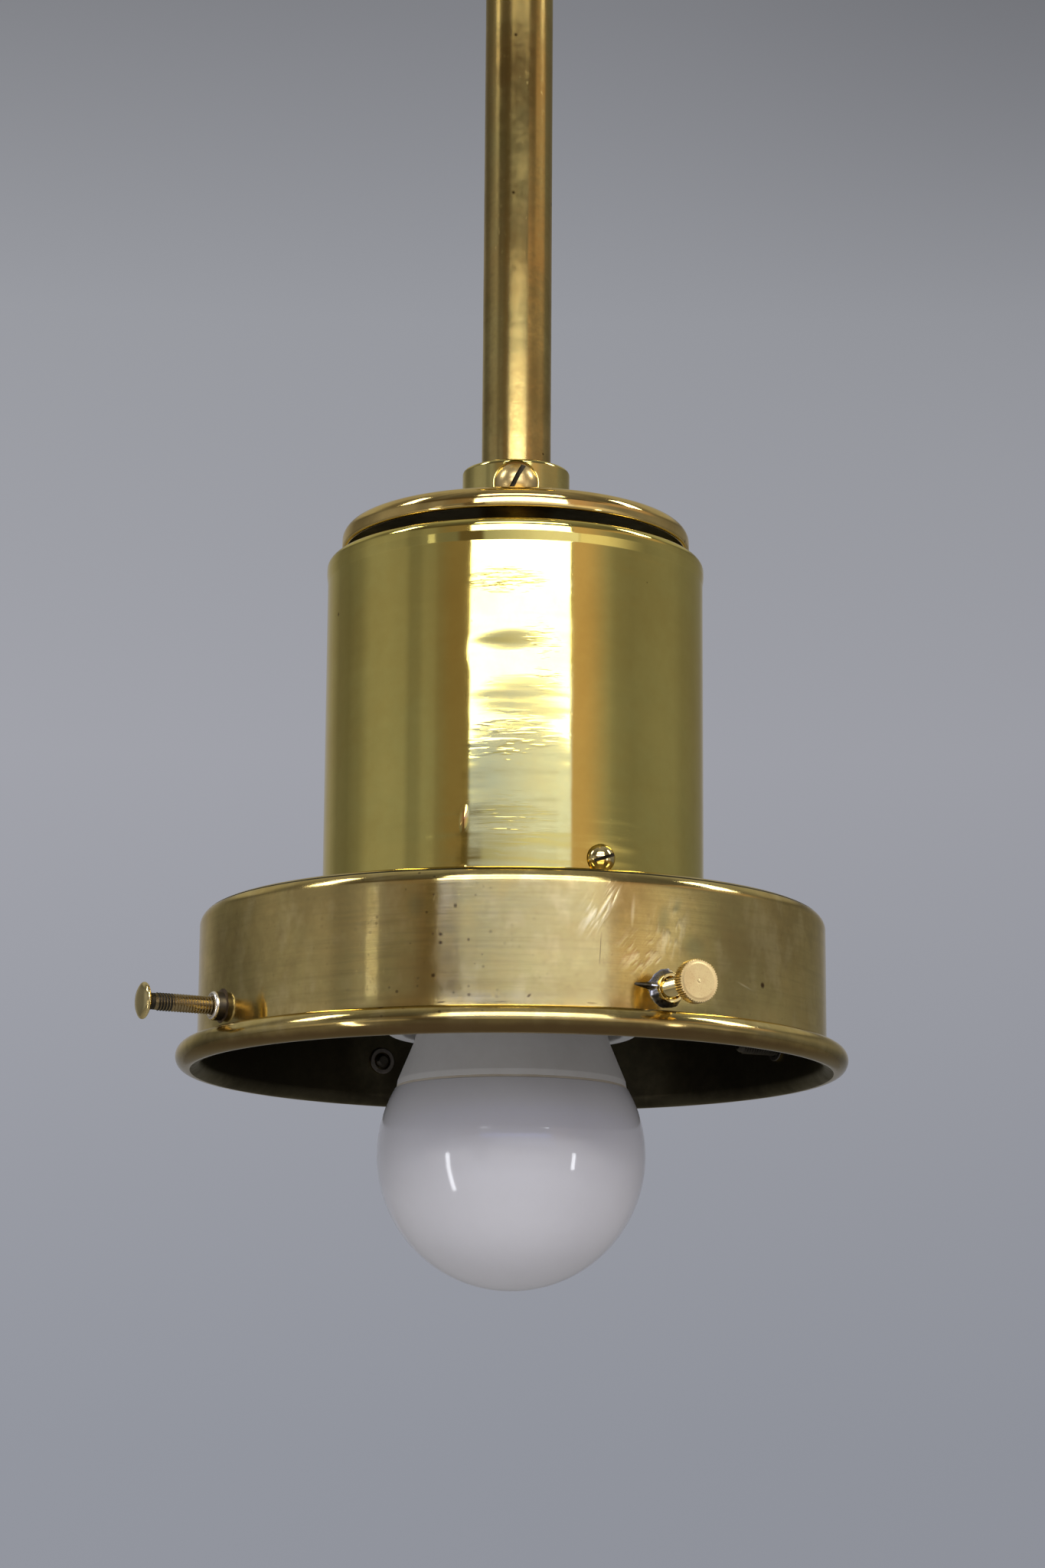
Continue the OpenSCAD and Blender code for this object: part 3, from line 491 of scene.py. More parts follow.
def make_speck_group():
    """A few small dark pits, each of its own size, as a mask."""
    tree, given = new_group("Specks", Scale=160.0, Size=0.09)
    cells = add_node(tree, "TexVoronoi", {"Vector": object_point(tree), "Randomness": 1.0,
                                          "Scale": given["Scale"]}, feature="F1")
    dice = add_node(tree, "SeparateXYZ", {0: cells.outputs["Color"]})
    size = times(tree, ramp(tree, dice.outputs["X"], 0.55, 1.0), given["Size"])
    mask = ramp(tree, cells.outputs["Distance"], times(tree, size, 0.5), size, 1.0, 0.0, "LINEAR")
    return close_group(tree, Mask=mask)


PATINA = make_patina_group()
TURNING = make_turning_group()
UNDULATION = make_undulation_group()
HAIRLINES = make_hairline_group()
SPECKS = make_speck_group()


def use_group(tree, group, **values):
    """The outputs of one use of a shared effect."""
    made = tree.nodes.new("ShaderNodeGroup")
    made.node_tree = group
    for name, value in values.items():
        feed(tree, value, made.inputs[name])
    return made.outputs


# Materials

TURNING_LINES = 1500.0
SCRATCH_DEPTH = 3e-6
# Orange for the two painted reflections on the cup.
PAINTED_REFLECTION_ORANGE = (0.90, 0.42, 0.13)


def new_material(name, **sockets):
    """A material with one Principled shader; sockets are its plain values."""
    made = bpy.data.materials.new(name)
    made.use_nodes = True
    tree = made.node_tree
    shader = tree.nodes["Principled BSDF"]
    for label, value in sockets.items():
        feed(tree, value, shader.inputs[label.replace("_", " ")])
    made.diffuse_color = tuple(shader.inputs["Base Color"].default_value)
    return made, tree, shader


def finish(tree, shader, colour, roughness, height):
    """Joins what a material has worked out to its shader."""
    bump = add_node(tree, "Bump", {"Height": height, "Distance": 1.0, "Strength": 1.0})
    for label, output in (("Base Color", colour), ("Roughness", roughness),
                          ("Normal", bump.outputs["Normal"])):
        tree.links.new(output, shader.inputs[label])


def metal(name, clean, tarnished, amount, blotch, smooth, rough, line_depth=3e-6, wave=40.0,
          wave_depth=0.0, stretch=2.4, hair=0.3, drift=None, marks=None):
    """Brass or another bare metal with tarnish, turning marks, scratches and uneven sheet.

    amount and blotch are the share and the scale of the tarnish; smooth and rough are the
    roughness where the metal is clean and where it is tarnished or scratched.
    """
    made, tree, shader = new_material(name, Base_Color=clean, Metallic=1.0,
                                      Specular_Tint=(0.96, 0.90, 0.72))
    ground = clean
    if drift:
        ground = use_group(tree, PATINA, Clean=clean, Tarnished=drift, Amount=0.9,
                           Scale=blotch * 0.45)["Color"]
    patina = use_group(tree, PATINA, Clean=ground, Tarnished=tarnished, Amount=amount, Scale=blotch)
    specks = use_group(tree, SPECKS, Scale=170.0, Size=0.08)["Mask"]
    dark = (tarnished[0] * 0.4, tarnished[1] * 0.35, tarnished[2] * 0.3)
    colour = mix_colour(tree, specks, patina["Color"], dark)
    scratch = use_group(tree, HAIRLINES, Scale=70.0, Amount=hair)["Mask"]
    worn = strongest(tree, [patina["Mask"], scratch])
    turning = use_group(tree, TURNING, Lines=TURNING_LINES, Depth=line_depth)["Height"]
    height = calculate(tree, "SUBTRACT", turning, times(tree, scratch, SCRATCH_DEPTH))
    if wave_depth:
        for finer, share in ((1.0, 0.7), (1.7, 0.3), (3.1, 0.14)):
            waves = use_group(tree, UNDULATION, Scale=wave * finer, Depth=wave_depth * share,
                              Stretch=stretch)["Height"]
            height = plus(tree, height, waves)
    if marks:
        dents, painted_reflections = marks(tree)
        height = plus(tree, height, dents)
        # A marked piece gets its painted orange reflections mixed in here.
        colour = mix_colour(tree, painted_reflections, colour, PAINTED_REFLECTION_ORANGE)
    finish(tree, shader, colour, ramp(tree, worn, 0.0, 1.0, smooth, rough, "LINEAR"), height)
    return made


def turned_face(name, clean, tarnished):
    """The fine-turned face of a thumbscrew: a soft sheen with grains of dirt in its lines."""
    made, tree, shader = new_material(name, Base_Color=clean, Metallic=1.0)
    patina = use_group(tree, PATINA, Clean=clean, Tarnished=tarnished, Amount=0.3, Scale=240.0)
    grains = clouds(tree, object_point(tree), 6500.0, 2.0, 0.6)
    dirt = ramp(tree, grains, 0.54, 0.76, 0.0, 0.6)
    finish(tree, shader, mix_colour(tree, dirt, patina["Color"], tarnished),
           ramp(tree, patina["Mask"], 0.0, 1.0, 0.28, 0.38, "LINEAR"), times(tree, grains, 6e-6))
    return made


def plastic(name, colour, shadow, rough, gloss_spread=0.08, grain=900.0, grain_depth=2e-6):
    """Moulded plastic or glazed ceramic: faint cloudiness, a fine skin and uneven gloss."""
    made, tree, shader = new_material(name, Base_Color=colour)
    cloud = use_group(tree, PATINA, Clean=colour, Tarnished=shadow, Amount=0.5, Scale=45.0)
    gloss = ramp(tree, cloud["Mask"], 0.0, 0.5, rough, rough + gloss_spread, "LINEAR")
    skin = times(tree, clouds(tree, object_point(tree), grain, 2.0), grain_depth)
    finish(tree, shader, cloud["Color"], gloss, skin)
    return made


def mark_point(tree, angle, height, lean, size, radius):
    """Coordinates round one place on a wall, leaning over and stretched to a size."""
    turn = math.radians(angle)
    centre = (radius * MM * math.sin(turn), -radius * MM * math.cos(turn), EDGE_Z + height * MM)
    place = add_node(tree, "TexCoord").outputs["Object"]
    return add_node(tree, "Mapping", {"Vector": place, "Location": centre,
                                      "Scale": [side * MM for side in size],
                                      "Rotation": (0, math.radians(lean), turn)},
                    vector_type="TEXTURE").outputs[0]


def spot(tree, angle, height, lean, size, core, radius=GALLERY_R):
    """A mask that fades out round one place on a wall; size is half its extent."""
    point = mark_point(tree, angle, height, lean, size, radius)
    away = add_node(tree, "VectorMath", {0: point}, operation="LENGTH").outputs["Value"]
    return ramp(tree, away, core, 1.0, 1.0, 0.0)


def spots(tree, core, places, radius=GALLERY_R):
    """Several such masks: (strength, angle, height, lean, size)."""
    return [times(tree, spot(tree, *place, core, radius), strength) for strength, *place in places]


def strokes(tree, angle, height, lean, reach, grain, radius=GALLERY_R):
    """A patch of wavering strokes; grain is the size of one of them."""
    lines = clouds(tree, mark_point(tree, angle, height, lean, grain, radius), 1.0, 2.0, 0.55)
    return times(tree, ramp(tree, lines, 0.47, 0.66),
                 spot(tree, angle, height, lean, reach, 0.2, radius))


def gallery_finish():
    """Spun and brushed brass: level brushing, cloudy tarnish, a bead darker towards its bottom (partly
    grime, partly painted shade), painted shade in the crease above the bead, and rubbed places.
    """
    greenish = (0.66, 0.53, 0.19)
    made, tree, shader = new_material(
        "brushed gallery brass", Base_Color=greenish, Metallic=1.0, Anisotropic=0.72,
        Anisotropic_Rotation=0.25, Specular_Tint=(0.95, 0.88, 0.68))
    ground = use_group(tree, PATINA, Clean=greenish, Tarnished=(0.73, 0.52, 0.18), Amount=1.0,
                       Scale=24.0)
    patina = use_group(tree, PATINA, Clean=ground["Color"], Tarnished=(0.40, 0.28, 0.10),
                       Amount=0.75, Scale=52.0)
    brushing = clouds(tree, object_point(tree, (0.05, 0.05, 1)), 900.0, 4.0, 0.7)
    mottle = clouds(tree, object_point(tree, (1, 1, 0.6)), 210.0, 3.0, 0.6)
    rubbed = strongest(tree, [
        strokes(tree, 14.5, 20.0, 30, (3.2, 9, 6.5), (1.1, 6, 6)),
        strokes(tree, 27.5, 17.5, 10, (4.6, 9, 6.5), (1.6, 6, 5)),
        strokes(tree, 22.0, 13.5, 38, (5.0, 9, 5.0), (1.4, 6, 4))] + spots(tree, 0.0, [
            (1.0, 15.9, 20.6, 33, (0.50, 3, 4.9)), (1.0, 17.6, 21.6, 24, (0.32, 3, 3.4)),
            (1.0, 20.7, 19.8, 4, (0.45, 3, 3.4)), (1.0, 25.5, 12.4, 42, (0.35, 3, 1.2)),
            (1.0, 44.0, 9.9, -74, (0.22, 3, 2.6))]))
    smudged = strongest(tree, spots(tree, 0.1, [
        (0.55, 32.5, 15.0, 10, (3.4, 9, 2.8)), (0.45, -16.5, 20.5, 0, (2.2, 9, 2.6)),
        (0.5, 26.5, 19.0, 16, (1.6, 9, 3.4)), (0.5, 29.0, 21.0, 30, (1.0, 9, 2.0))]))
    place = add_node(tree, "SeparateXYZ", {0: add_node(tree, "TexCoord").outputs["Object"]}).outputs
    lift = plus(tree, place["Z"], times(tree, ground["Mask"], 0.0007))
    # The bead darkens towards its bottom: painted shade for the dark room it reflects, partly grime. The
    # thin band above it darkens the crease: painted shade.
    bead_shade_and_grime = ramp(tree, lift, EDGE_Z + 0.0010, EDGE_Z + 0.0031, 0.93, 0.0)
    crease_shade = band(tree, lift, EDGE_Z + 0.0044, EDGE_Z + 0.0052, 0.0006)
    front = times(tree, band(tree, place["X"], -0.021, -0.004, 0.004),
                  ramp(tree, place["Y"], -0.02, 0.0, 1.0, 0.0))
    pits = times(tree, use_group(tree, SPECKS, Scale=900.0, Size=0.34)["Mask"],
                 plus(tree, times(tree, front, 0.6), 0.12))
    specks = use_group(tree, SPECKS, Scale=150.0, Size=0.10)["Mask"]
    # Pits, specks and small dark spots are dirt; the bead's bottom and the crease add painted shade.
    grime_and_shade = strongest(tree, [bead_shade_and_grime, times(tree, crease_shade, 0.12), pits, specks] + spots(tree, 0.35, [
        (0.7, -12.0, 5.0, 86, (0.16, 3, 1.0)), (0.6, -1.9, 5.0, 88, (0.12, 3, 1.4)),
        (0.6, 13.4, 5.1, 92, (0.14, 3, 1.1)), (0.8, 2.8, 6.0, 50, (0.26, 3, 0.5)),
        (0.6, 14.9, 13.5, 3, (0.10, 3, 3.3))]))
    rusty = spot(tree, 8.3, 1.9, 80, (0.5, 3, 1.3), 0.35)
    colour = patina["Color"]
    for mask, other in (
            (ramp(tree, mottle, 0.46, 0.70, 0.0, 0.42), (0.88, 0.69, 0.31)),
            (ramp(tree, brushing, 0.42, 0.72, 0.0, 0.40), (0.44, 0.33, 0.12)),
            (times(tree, rubbed, 0.62), (0.96, 0.82, 0.46)),
            (smudged, (0.33, 0.31, 0.14)),
            (grime_and_shade, (0.13, 0.075, 0.03)),
            (times(tree, rusty, 0.7), (0.26, 0.07, 0.05))):
        colour = mix_colour(tree, mask, colour, other)
    scratch = use_group(tree, HAIRLINES, Scale=60.0, Amount=0.5)["Mask"]
    worn = strongest(tree, [patina["Mask"], scratch])
    height = use_group(tree, TURNING, Lines=2300.0, Depth=4e-6)["Height"]
    for mask, depth in ((rubbed, 1.6e-5), (scratch, -SCRATCH_DEPTH), (mottle, 1.2e-5)):
        height = plus(tree, height, times(tree, mask, depth))
    finish(tree, shader, colour, ramp(tree, worn, 0.0, 1.0, 0.10, 0.21, "LINEAR"), height)
    tangent = add_node(tree, "Tangent", direction_type="RADIAL", axis="Z")
    tree.links.new(tangent.outputs["Tangent"], shader.inputs["Tangent"])
    return made


def cup_marks(tree):
    """Small dents and drawn streaks in the cup's front, and two orange flecks that are painted
    reflections.
    """
    dents = times(tree, spot(tree, -2, 65.4, 0, (11, 9, 4.0), 0.0, CUP_R), -1.15e-4)
    for angle, height, reach, grain, depth in (
            (-3, 77.5, (9, 9, 3.2), (6, 9, 0.5), 2.4e-5), (9, 66.0, (5, 9, 9.0), (5, 9, 0.8), 8e-6),
            (-1, 51.0, (9, 9, 6.0), (7, 9, 1.3), 1.4e-5), (0, 38.0, (9, 9, 6.0), (9, 9, 0.5), 4e-6)):
        lines = strokes(tree, angle, height, 0, reach, grain, CUP_R)
        dents = plus(tree, dents, times(tree, lines, depth))
    # Two orange flecks on the cup: painted reflections, with a slight bump.
    painted_reflections = strongest(tree, spots(tree, 0.0, [
        (1.0, -14.4, 37.8, 6, (0.9, 3, 2.6)), (1.0, -14.4, 28.6, 0, (1.2, 3, 1.8))], CUP_R))
    dents = plus(tree, dents, times(tree, painted_reflections, 1.3e-4))
    return dents, times(tree, painted_reflections, 0.9)


# Bare metals: clean and tarnished colour, amount, blotch, smooth, rough
CUP_BRASS = metal("polished cup brass", (0.78, 0.62, 0.165), (0.60, 0.42, 0.09), 0.45, 38, 0.05, 0.14,
                  line_depth=8e-7, wave=26.0, wave_depth=1.1e-4, stretch=6.0,
                  drift=(0.70, 0.60, 0.17), marks=cup_marks)
COVER_BRASS = metal("cover brass", (0.77, 0.55, 0.19), (0.50, 0.30, 0.08), 0.5, 70, 0.06, 0.16,
                    line_depth=8e-7)
COLLAR_BRASS = metal("collar brass", (0.74, 0.60, 0.20), (0.52, 0.37, 0.10), 0.5, 110, 0.08, 0.2,
                     line_depth=1.5e-6)
ROD_BRASS = metal("rod brass", (0.58, 0.45, 0.16), (0.30, 0.20, 0.06), 0.85, 80, 0.12, 0.28,
                  line_depth=5e-7, wave=60.0, wave_depth=5e-5, hair=0.5, drift=(0.60, 0.38, 0.12))
CANOPY_BRASS = metal("canopy brass", (0.76, 0.61, 0.20), (0.58, 0.42, 0.12), 0.45, 30, 0.07, 0.18,
                     line_depth=1.5e-6, wave=26.0, wave_depth=1.0e-4)
# Nearly black brass for the insides of cup and gallery and for the cover's underside: painted shade where
# little light reaches.
PAINTED_SHADE_INSIDE = metal("inside brass painted dark as shade", (0.045, 0.038, 0.022), (0.02, 0.016, 0.010), 0.8, 60, 0.4, 0.62)
SCREW_BRASS = metal("screw brass", (0.77, 0.61, 0.27), (0.52, 0.37, 0.15), 0.45, 160, 0.09, 0.22)
SET_BRASS = metal("set screw brass", (0.76, 0.56, 0.24), (0.46, 0.30, 0.12), 0.6, 220, 0.28, 0.42)
KNURL_EDGE = metal("knurled edge brass", (0.66, 0.49, 0.22), (0.16, 0.10, 0.05), 0.7, 300, 0.25, 0.45)
# Nearly black: painted shade in screw slots, and grime on the solder tails.
SLOT_SHADE_AND_GRIME = metal("slot shade and grime", (0.05, 0.04, 0.025), (0.02, 0.016, 0.012), 0.8, 300, 0.45, 0.65)
# Dark bush ends inside the gallery and at the left bush's foot: painted shade.
PAINTED_SHADE_BUSH_END = metal("bush end painted dark as shade", (0.13, 0.115, 0.10), (0.06, 0.05, 0.04), 0.8, 260, 0.35, 0.6)
# Dark thread: painted shade where it lies inside the gallery.
DARK_THREAD_AND_SHADE = metal("dark thumbscrew thread and painted shade", (0.06, 0.052, 0.04), (0.03, 0.026, 0.02), 0.8, 260,
                    0.42, 0.6)
BRONZE_SHANK = metal("dull bronze shank", (0.34, 0.25, 0.12), (0.09, 0.065, 0.035), 0.8, 240, 0.2, 0.42)
SOLDER = metal("dull solder", (0.47, 0.47, 0.55), (0.07, 0.075, 0.11), 0.95, 420, 0.2, 0.5,
               line_depth=0.0)
# The left bush's solder, darkened as painted shade at the bush's foot.
SOLDER_PAINTED_SHADE = metal("solder painted dark as shade", (0.22, 0.15, 0.09), (0.07, 0.05, 0.035), 0.8, 420, 0.35, 0.55,
                    line_depth=0.0)
# Near-white brass for the worn left bush's outer end: its pale wear brightened as a painted highlight.
PALE_BUSH_PAINTED_HIGHLIGHT = metal("pale bush face with painted highlight", (1.0, 0.93, 0.78), (0.56, 0.46, 0.42), 0.6, 420, 0.24, 0.40,
                  line_depth=0.0)
EYE_BRASS = metal("cast eye brass", (0.55, 0.42, 0.17), (0.24, 0.16, 0.06), 0.8, 90, 0.24, 0.5)
NIPPLE_BRASS = metal("nipple brass", (0.66, 0.51, 0.22), (0.40, 0.28, 0.11), 0.5, 120, 0.2, 0.36)
CONTACT_BRASS = metal("contact brass", (0.78, 0.63, 0.30), (0.55, 0.40, 0.16), 0.4, 120, 0.15, 0.3)
ZINC = metal("zinc plated steel", (0.62, 0.62, 0.60), (0.42, 0.41, 0.38), 0.4, 140, 0.25, 0.42)
BULB_METAL = metal("bulb cap metal", (0.75, 0.75, 0.74), (0.58, 0.57, 0.54), 0.4, 120, 0.18, 0.34)
TINNED = metal("tinned contact", (0.62, 0.63, 0.64), (0.40, 0.41, 0.42), 0.5, 300, 0.2, 0.4)
KNURL_BRASS = turned_face("turned thumbscrew face", (1.0, 0.80, 0.40), (0.62, 0.33, 0.13))
GALLERY_BRASS = gallery_finish()

# Plastics, ceramic and glass: colour, shadow, roughness
HOLDER_WHITE = plastic("holder white", (0.80, 0.79, 0.77), (0.70, 0.68, 0.64), 0.3)
CERAMIC = plastic("glazed ceramic", (0.84, 0.82, 0.76), (0.72, 0.69, 0.62), 0.12, 0.1)
OPAL = plastic("opal globe", (0.82, 0.795, 0.81), (0.78, 0.75, 0.76), 0.06, 0.03, 300.0, 1e-6)
BULB_WHITE = plastic("bulb housing white", (0.80, 0.77, 0.74), (0.68, 0.64, 0.60), 0.4)
SEAM_TAN = plastic("seam glue", (0.74, 0.66, 0.54), (0.50, 0.38, 0.24), 0.45)
BLACK_GLASS = plastic("black insulator", (0.025, 0.025, 0.03), (0.04, 0.04, 0.045), 0.1)
BOARD_GREEN = plastic("green board", (0.06, 0.22, 0.10), (0.04, 0.15, 0.07), 0.3)
PLATE_WHITE = plastic("white resist", (0.85, 0.85, 0.84), (0.78, 0.78, 0.76), 0.35)
LED_YELLOW = plastic("yellow phosphor", (0.88, 0.70, 0.18), (0.78, 0.58, 0.12), 0.3)
BLOCK_WHITE = plastic("terminal block white", (0.84, 0.83, 0.79), (0.72, 0.70, 0.64), 0.42)
LEAD_BROWN = plastic("brown lead", (0.22, 0.11, 0.06), (0.15, 0.07, 0.04), 0.4)
LEAD_BLUE = plastic("blue lead", (0.06, 0.13, 0.42), (0.04, 0.09, 0.30), 0.4)


# Camera

def place_camera():
    """The photograph's view: a long lens below the light, looking up."""
    data = bpy.data.cameras.new("camera")
    data.sensor_fit = "AUTO"
    data.sensor_width = 36
    data.lens = CAMERA_FOCAL_PX / PHOTO_H * data.sensor_width
    data.clip_start = 0.01
    data.clip_end = 50
    camera = as_object("camera", data)
    place = Matrix.Translation((0, -CAMERA_DISTANCE * MM, EDGE_Z - CAMERA_DROP * MM))
    turn = (Matrix.Rotation(CAMERA_YAW, 4, "Z") @ Matrix.Rotation(math.pi / 2 + CAMERA_PITCH, 4, "X")
            @ Matrix.Rotation(CAMERA_ROLL, 4, "Z"))
    camera.matrix_world = place @ turn
    bpy.context.scene.camera = camera


# Light

LAMP_RADIANCE_SHARE = 4.0  # watts for each square metre of lamp and unit of brightness
LAMP_COLOUR = (0.93, 0.96, 1.0)


def window(name, azimuth, half_angle, bottom, top, brightness, distance=4.0):
    """A flat soft lamp, seen from the gallery's edge at these angles in degrees."""
    base, upper = [distance * math.tan(math.radians(angle)) for angle in (bottom, top)]
    data = bpy.data.lights.new(name, "AREA")
    data.shape = "RECTANGLE"
    data.size = 2 * distance * math.tan(math.radians(half_angle))
    data.size_y = upper - base
    data.energy = brightness * data.size * data.size_y * LAMP_RADIANCE_SHARE
    data.color = LAMP_COLOUR
    lamp = as_object(name, data)
    place = Matrix.Translation((0, -distance, EDGE_Z + (base + upper) / 2))
    lamp.matrix_world = turned(azimuth) @ place @ turned(90, "X")
    lamp.visible_camera = False


def light_room():
    for name, *place in (
            ("wide window", 3.2, 29.3, 18.2, 27, 5.0, 0.56),
            ("wide upper window", 4, 30, 33, 46, 5.0),
            ("left upper window", -80, 5.5, 29, 50, 9.0),
            ("right upper window", 90, 6.5, 29, 50, 9.0),
            ("left tall window", -55, 1.9, -30, -2, 9.0, 1.1),
            ("left low window", -51, 2.2, 6, 9.5, 0.55),
            ("right tall window", 54.4, 1.7, -14, -2, 9.0, 1.1)):
        window(name, *place)


def paint_room():
    """A plain grey room, paler at eye level, whose walls differ round the light.

    The metal shows the wide window's lit sill and ledge, its frame and what stands beside it. The
    camera sees plain wall only.
    """
    world = bpy.data.worlds.new("room")
    bpy.context.scene.world = world
    world.use_nodes = True
    tree = world.node_tree
    axes = add_node(tree, "SeparateXYZ", {0: add_node(tree, "TexCoord").outputs["Generated"]}).outputs
    forwards = times(tree, axes["Y"], -1.0)
    azimuth = calculate(tree, "DEGREES", calculate(tree, "ARCTAN2", axes["X"], forwards))
    elevation = calculate(tree, "DEGREES", calculate(tree, "ARCSINE", axes["Z"]))
    plain = gradient(tree, elevation, [
        (-90, (0.30, 0.30, 0.32)), (-20, (0.27, 0.275, 0.305)), (1, (0.285, 0.298, 0.34)),
        (12, (0.35, 0.356, 0.395)), (19, (0.312, 0.32, 0.35)), (24, (0.215, 0.22, 0.24)),
        (32, (0.15, 0.15, 0.16)), (50, (0.2, 0.2, 0.21)), (72, (0.4, 0.4, 0.41)),
        (90, (0.42, 0.42, 0.43))], -90, 90)
    shades = [(-180, 1.0), (-160, 1.0), (-148, 0.85), (-135, 0.5), (-121, 0.46), (-108, 0.62),
              (-98, 0.92), (-84, 1.0), (-70, 0.92), (-66, 0.66), (-60, 0.68), (-56, 0.88), (-49, 0.85),
              (-47, 0.7), (-28, 0.58), (-25, 0.9), (58, 0.9), (64, 0.7), (75, 0.62), (88, 0.68),
              (101, 0.72), (112, 0.72), (123, 0.60), (140, 0.56), (155, 0.62), (168, 0.9), (180, 1.0)]
    walls = gradient(tree, azimuth, [(angle, (share,) * 3) for angle, share in shades], -180, 180)
    room = mix_colour(tree, 1.0, plain, walls, "MULTIPLY")
    far = times(tree, ramp(tree, calculate(tree, "ABSOLUTE", azimuth), 95.0, 125.0),
                ramp(tree, elevation, 22.0, 30.0))
    room = mix_colour(tree, far, room, (0.40, 0.41, 0.42))
    glow = ramp(tree, azimuth, -25.0, 25.0)
    sill = mix_colour(tree, glow, (0.56, 0.70, 1.70), (1.00, 1.15, 2.20))
    ledge = mix_colour(tree, glow, (0.42, 0.46, 0.56), (0.99, 1.02, 1.24))
    # What it is, strength, azimuths between which it rises and falls, elevations likewise, colour
    for label, strength, sides, heights, colour in (
            ("sill", 1.0, (-28, -25, 36.5, 39.5), (9.3, 10.5, 12.9, 14.1), sill),
            ("ledge", 1.0, (-20.3, -18.1, 36.9, 39.1), (2.4, 3.6, 9.3, 10.5), ledge),
            ("beside", 1.0, (36.5, 39.5, 46, 86), (-0.6, 0.6, 9.3, 10.5), (0.98, 0.93, 0.90)),
            ("table", 0.85, (-85, -65, 75, 95), (-32, -28, -0.5, 3.5), (0.70, 0.66, 0.62)),
            ("frame", 1.0, (-54, -36, -28, -26), (8.5, 10.5, 25, 27), (0.25, 0.20, 0.16)),
            ("low dark", 1.0, (-36, -32, -21, -17), (-13, -11, 8.7, 10.7), (0.13, 0.105, 0.085)),
            ("wood", 1.0, (33.5, 35.5, 40, 62), (7, 10, 20, 23), (0.62, 0.46, 0.38)),
            ("warm side", 0.7, (44, 60, 94, 110), (15.5, 18.5, 25.5, 28.5), (0.60, 0.44, 0.32)),
            ("shade side", 0.7, (-72, -60, -8, 4), (17.5, 19.5, 29, 31), (0.10, 0.08, 0.06)),
            ("post", 1.0, (-31.6, -30.4, -27.8, -26.6), (8.9, 9.5, 10.6, 11.2), (0.10, 0.08, 0.05)),
            ("rail", 0.55, (-28, -24, 24, 28), (10.25, 10.55, 10.65, 10.95), (0.36, 0.42, 0.70)),
            ("lintel", 0.8, (-76, -64, 56, 68), (19.5, 21.5, 26, 28), (0.07, 0.06, 0.05))):
        mask = times(tree, between(tree, azimuth, *sides), between(tree, elevation, *heights))
        room = mix_colour(tree, times(tree, mask, strength), room, colour)
        room.node.label = label
    side = ramp(tree, axes["X"], -0.15, 0.15, 1.03, 0.95, "LINEAR")
    corner = times(tree, ramp(tree, axes["X"], 0.0, 0.16), ramp(tree, elevation, 16.0, 25.0, 0.0, 0.16))
    backdrop = mix_colour(tree, 1.0, plain, calculate(tree, "SUBTRACT", side, corner), "MULTIPLY")
    seen = add_node(tree, "LightPath").outputs["Is Camera Ray"]
    background = tree.nodes["Background"]
    tree.links.new(mix_colour(tree, seen, room, backdrop), background.inputs["Color"])
    background.inputs["Strength"].default_value = 1.0


def lay_floor():
    """A plain pale floor, well below the light."""
    made = bmesh.new()
    bmesh.ops.create_circle(made, cap_ends=True, segments=96, radius=FLOOR_RADIUS)
    bmesh.ops.translate(made, vec=(0, 0, FLOOR_Z), verts=made.verts)
    mesh = as_mesh("floor", made)
    mesh.materials.append(plastic("pale floor", (0.47, 0.46, 0.455), (0.44, 0.43, 0.425), 0.6,
                                  grain=60.0))
    floor = as_object("floor", mesh)


# Cup, cover, collars and rod

def make_cup():
    """The closed brass cylinder, vented, with a faint lip under its rounded top edge."""
    lip = 0.16
    wall = CUP_R - lip
    under = CUP_TOP - SHEET
    outline = eased([
        (wall, GALLERY_H, 0.15), (wall, CUP_TOP - 4.0, 3), (CUP_R, CUP_TOP - 2.4, 3),
        (CUP_R, CUP_TOP, 1.35), (NIPPLE_HOLE_R, CUP_TOP, 0.15), (NIPPLE_HOLE_R, under, 0.15),
        (wall - SHEET, under, 0.6), (wall - SHEET, GALLERY_H, 0.15)], steps=8)
    made = spun(outline, steps=256)
    for i in range(VENT_COUNT):
        place = turned(360 / VENT_COUNT * (i + 0.5)) @ Matrix.Translation((VENT_CIRCLE_R, 0, CUP_TOP - 2))
        made = cut(made, moved(drill(VENT_R, 3), place))
    # The cup's inner faces take the nearly black brass: painted shade.
    mark(made, 1, lambda centre: (centre.xy.length < wall - SHEET / 2
                                  and centre.z < CUP_TOP - SHEET / 2))
    piece("cup_shell", made, "frame", "cup", "cup_brass", CUP_BRASS, PAINTED_SHADE_INSIDE)


def make_cover():
    """The dished cover, with a rolled rim."""
    crown, plate, edge_r, rim_r = 1.0, 1.0, 2.3, 0.5
    edge_x = COVER_R - edge_r
    edge_z = COVER_SEAT - crown - edge_r
    outline = [(SLIDE_R, COVER_SEAT), (COLLAR_R, COVER_SEAT)]
    outline += arc(edge_x, edge_z, edge_r, 90, 0, 14)
    outline += arc(COVER_R - rim_r, COVER_EDGE + rim_r, rim_r, 0, -180, 8)
    outline += arc(edge_x, edge_z, edge_r - plate, 0, 90, 8)
    outline += [(COLLAR_R, COVER_SEAT - plate), (SLIDE_R, COVER_SEAT - plate)]
    made = spun(outline)
    made.normal_update()
    # The cover's underside takes the nearly black brass: painted shade under the cover.
    for face in made.faces:
        centre = face.calc_center_median()
        inwards = face.normal.xy.dot(centre.xy) < 0
        if centre.xy.length < COVER_R - 0.7 and (inwards or face.normal.z < -0.5):
            face.material_index = 1
    piece("cover_dish", made, "cover", "cup_cover", "cover_brass", COVER_BRASS, PAINTED_SHADE_INSIDE)


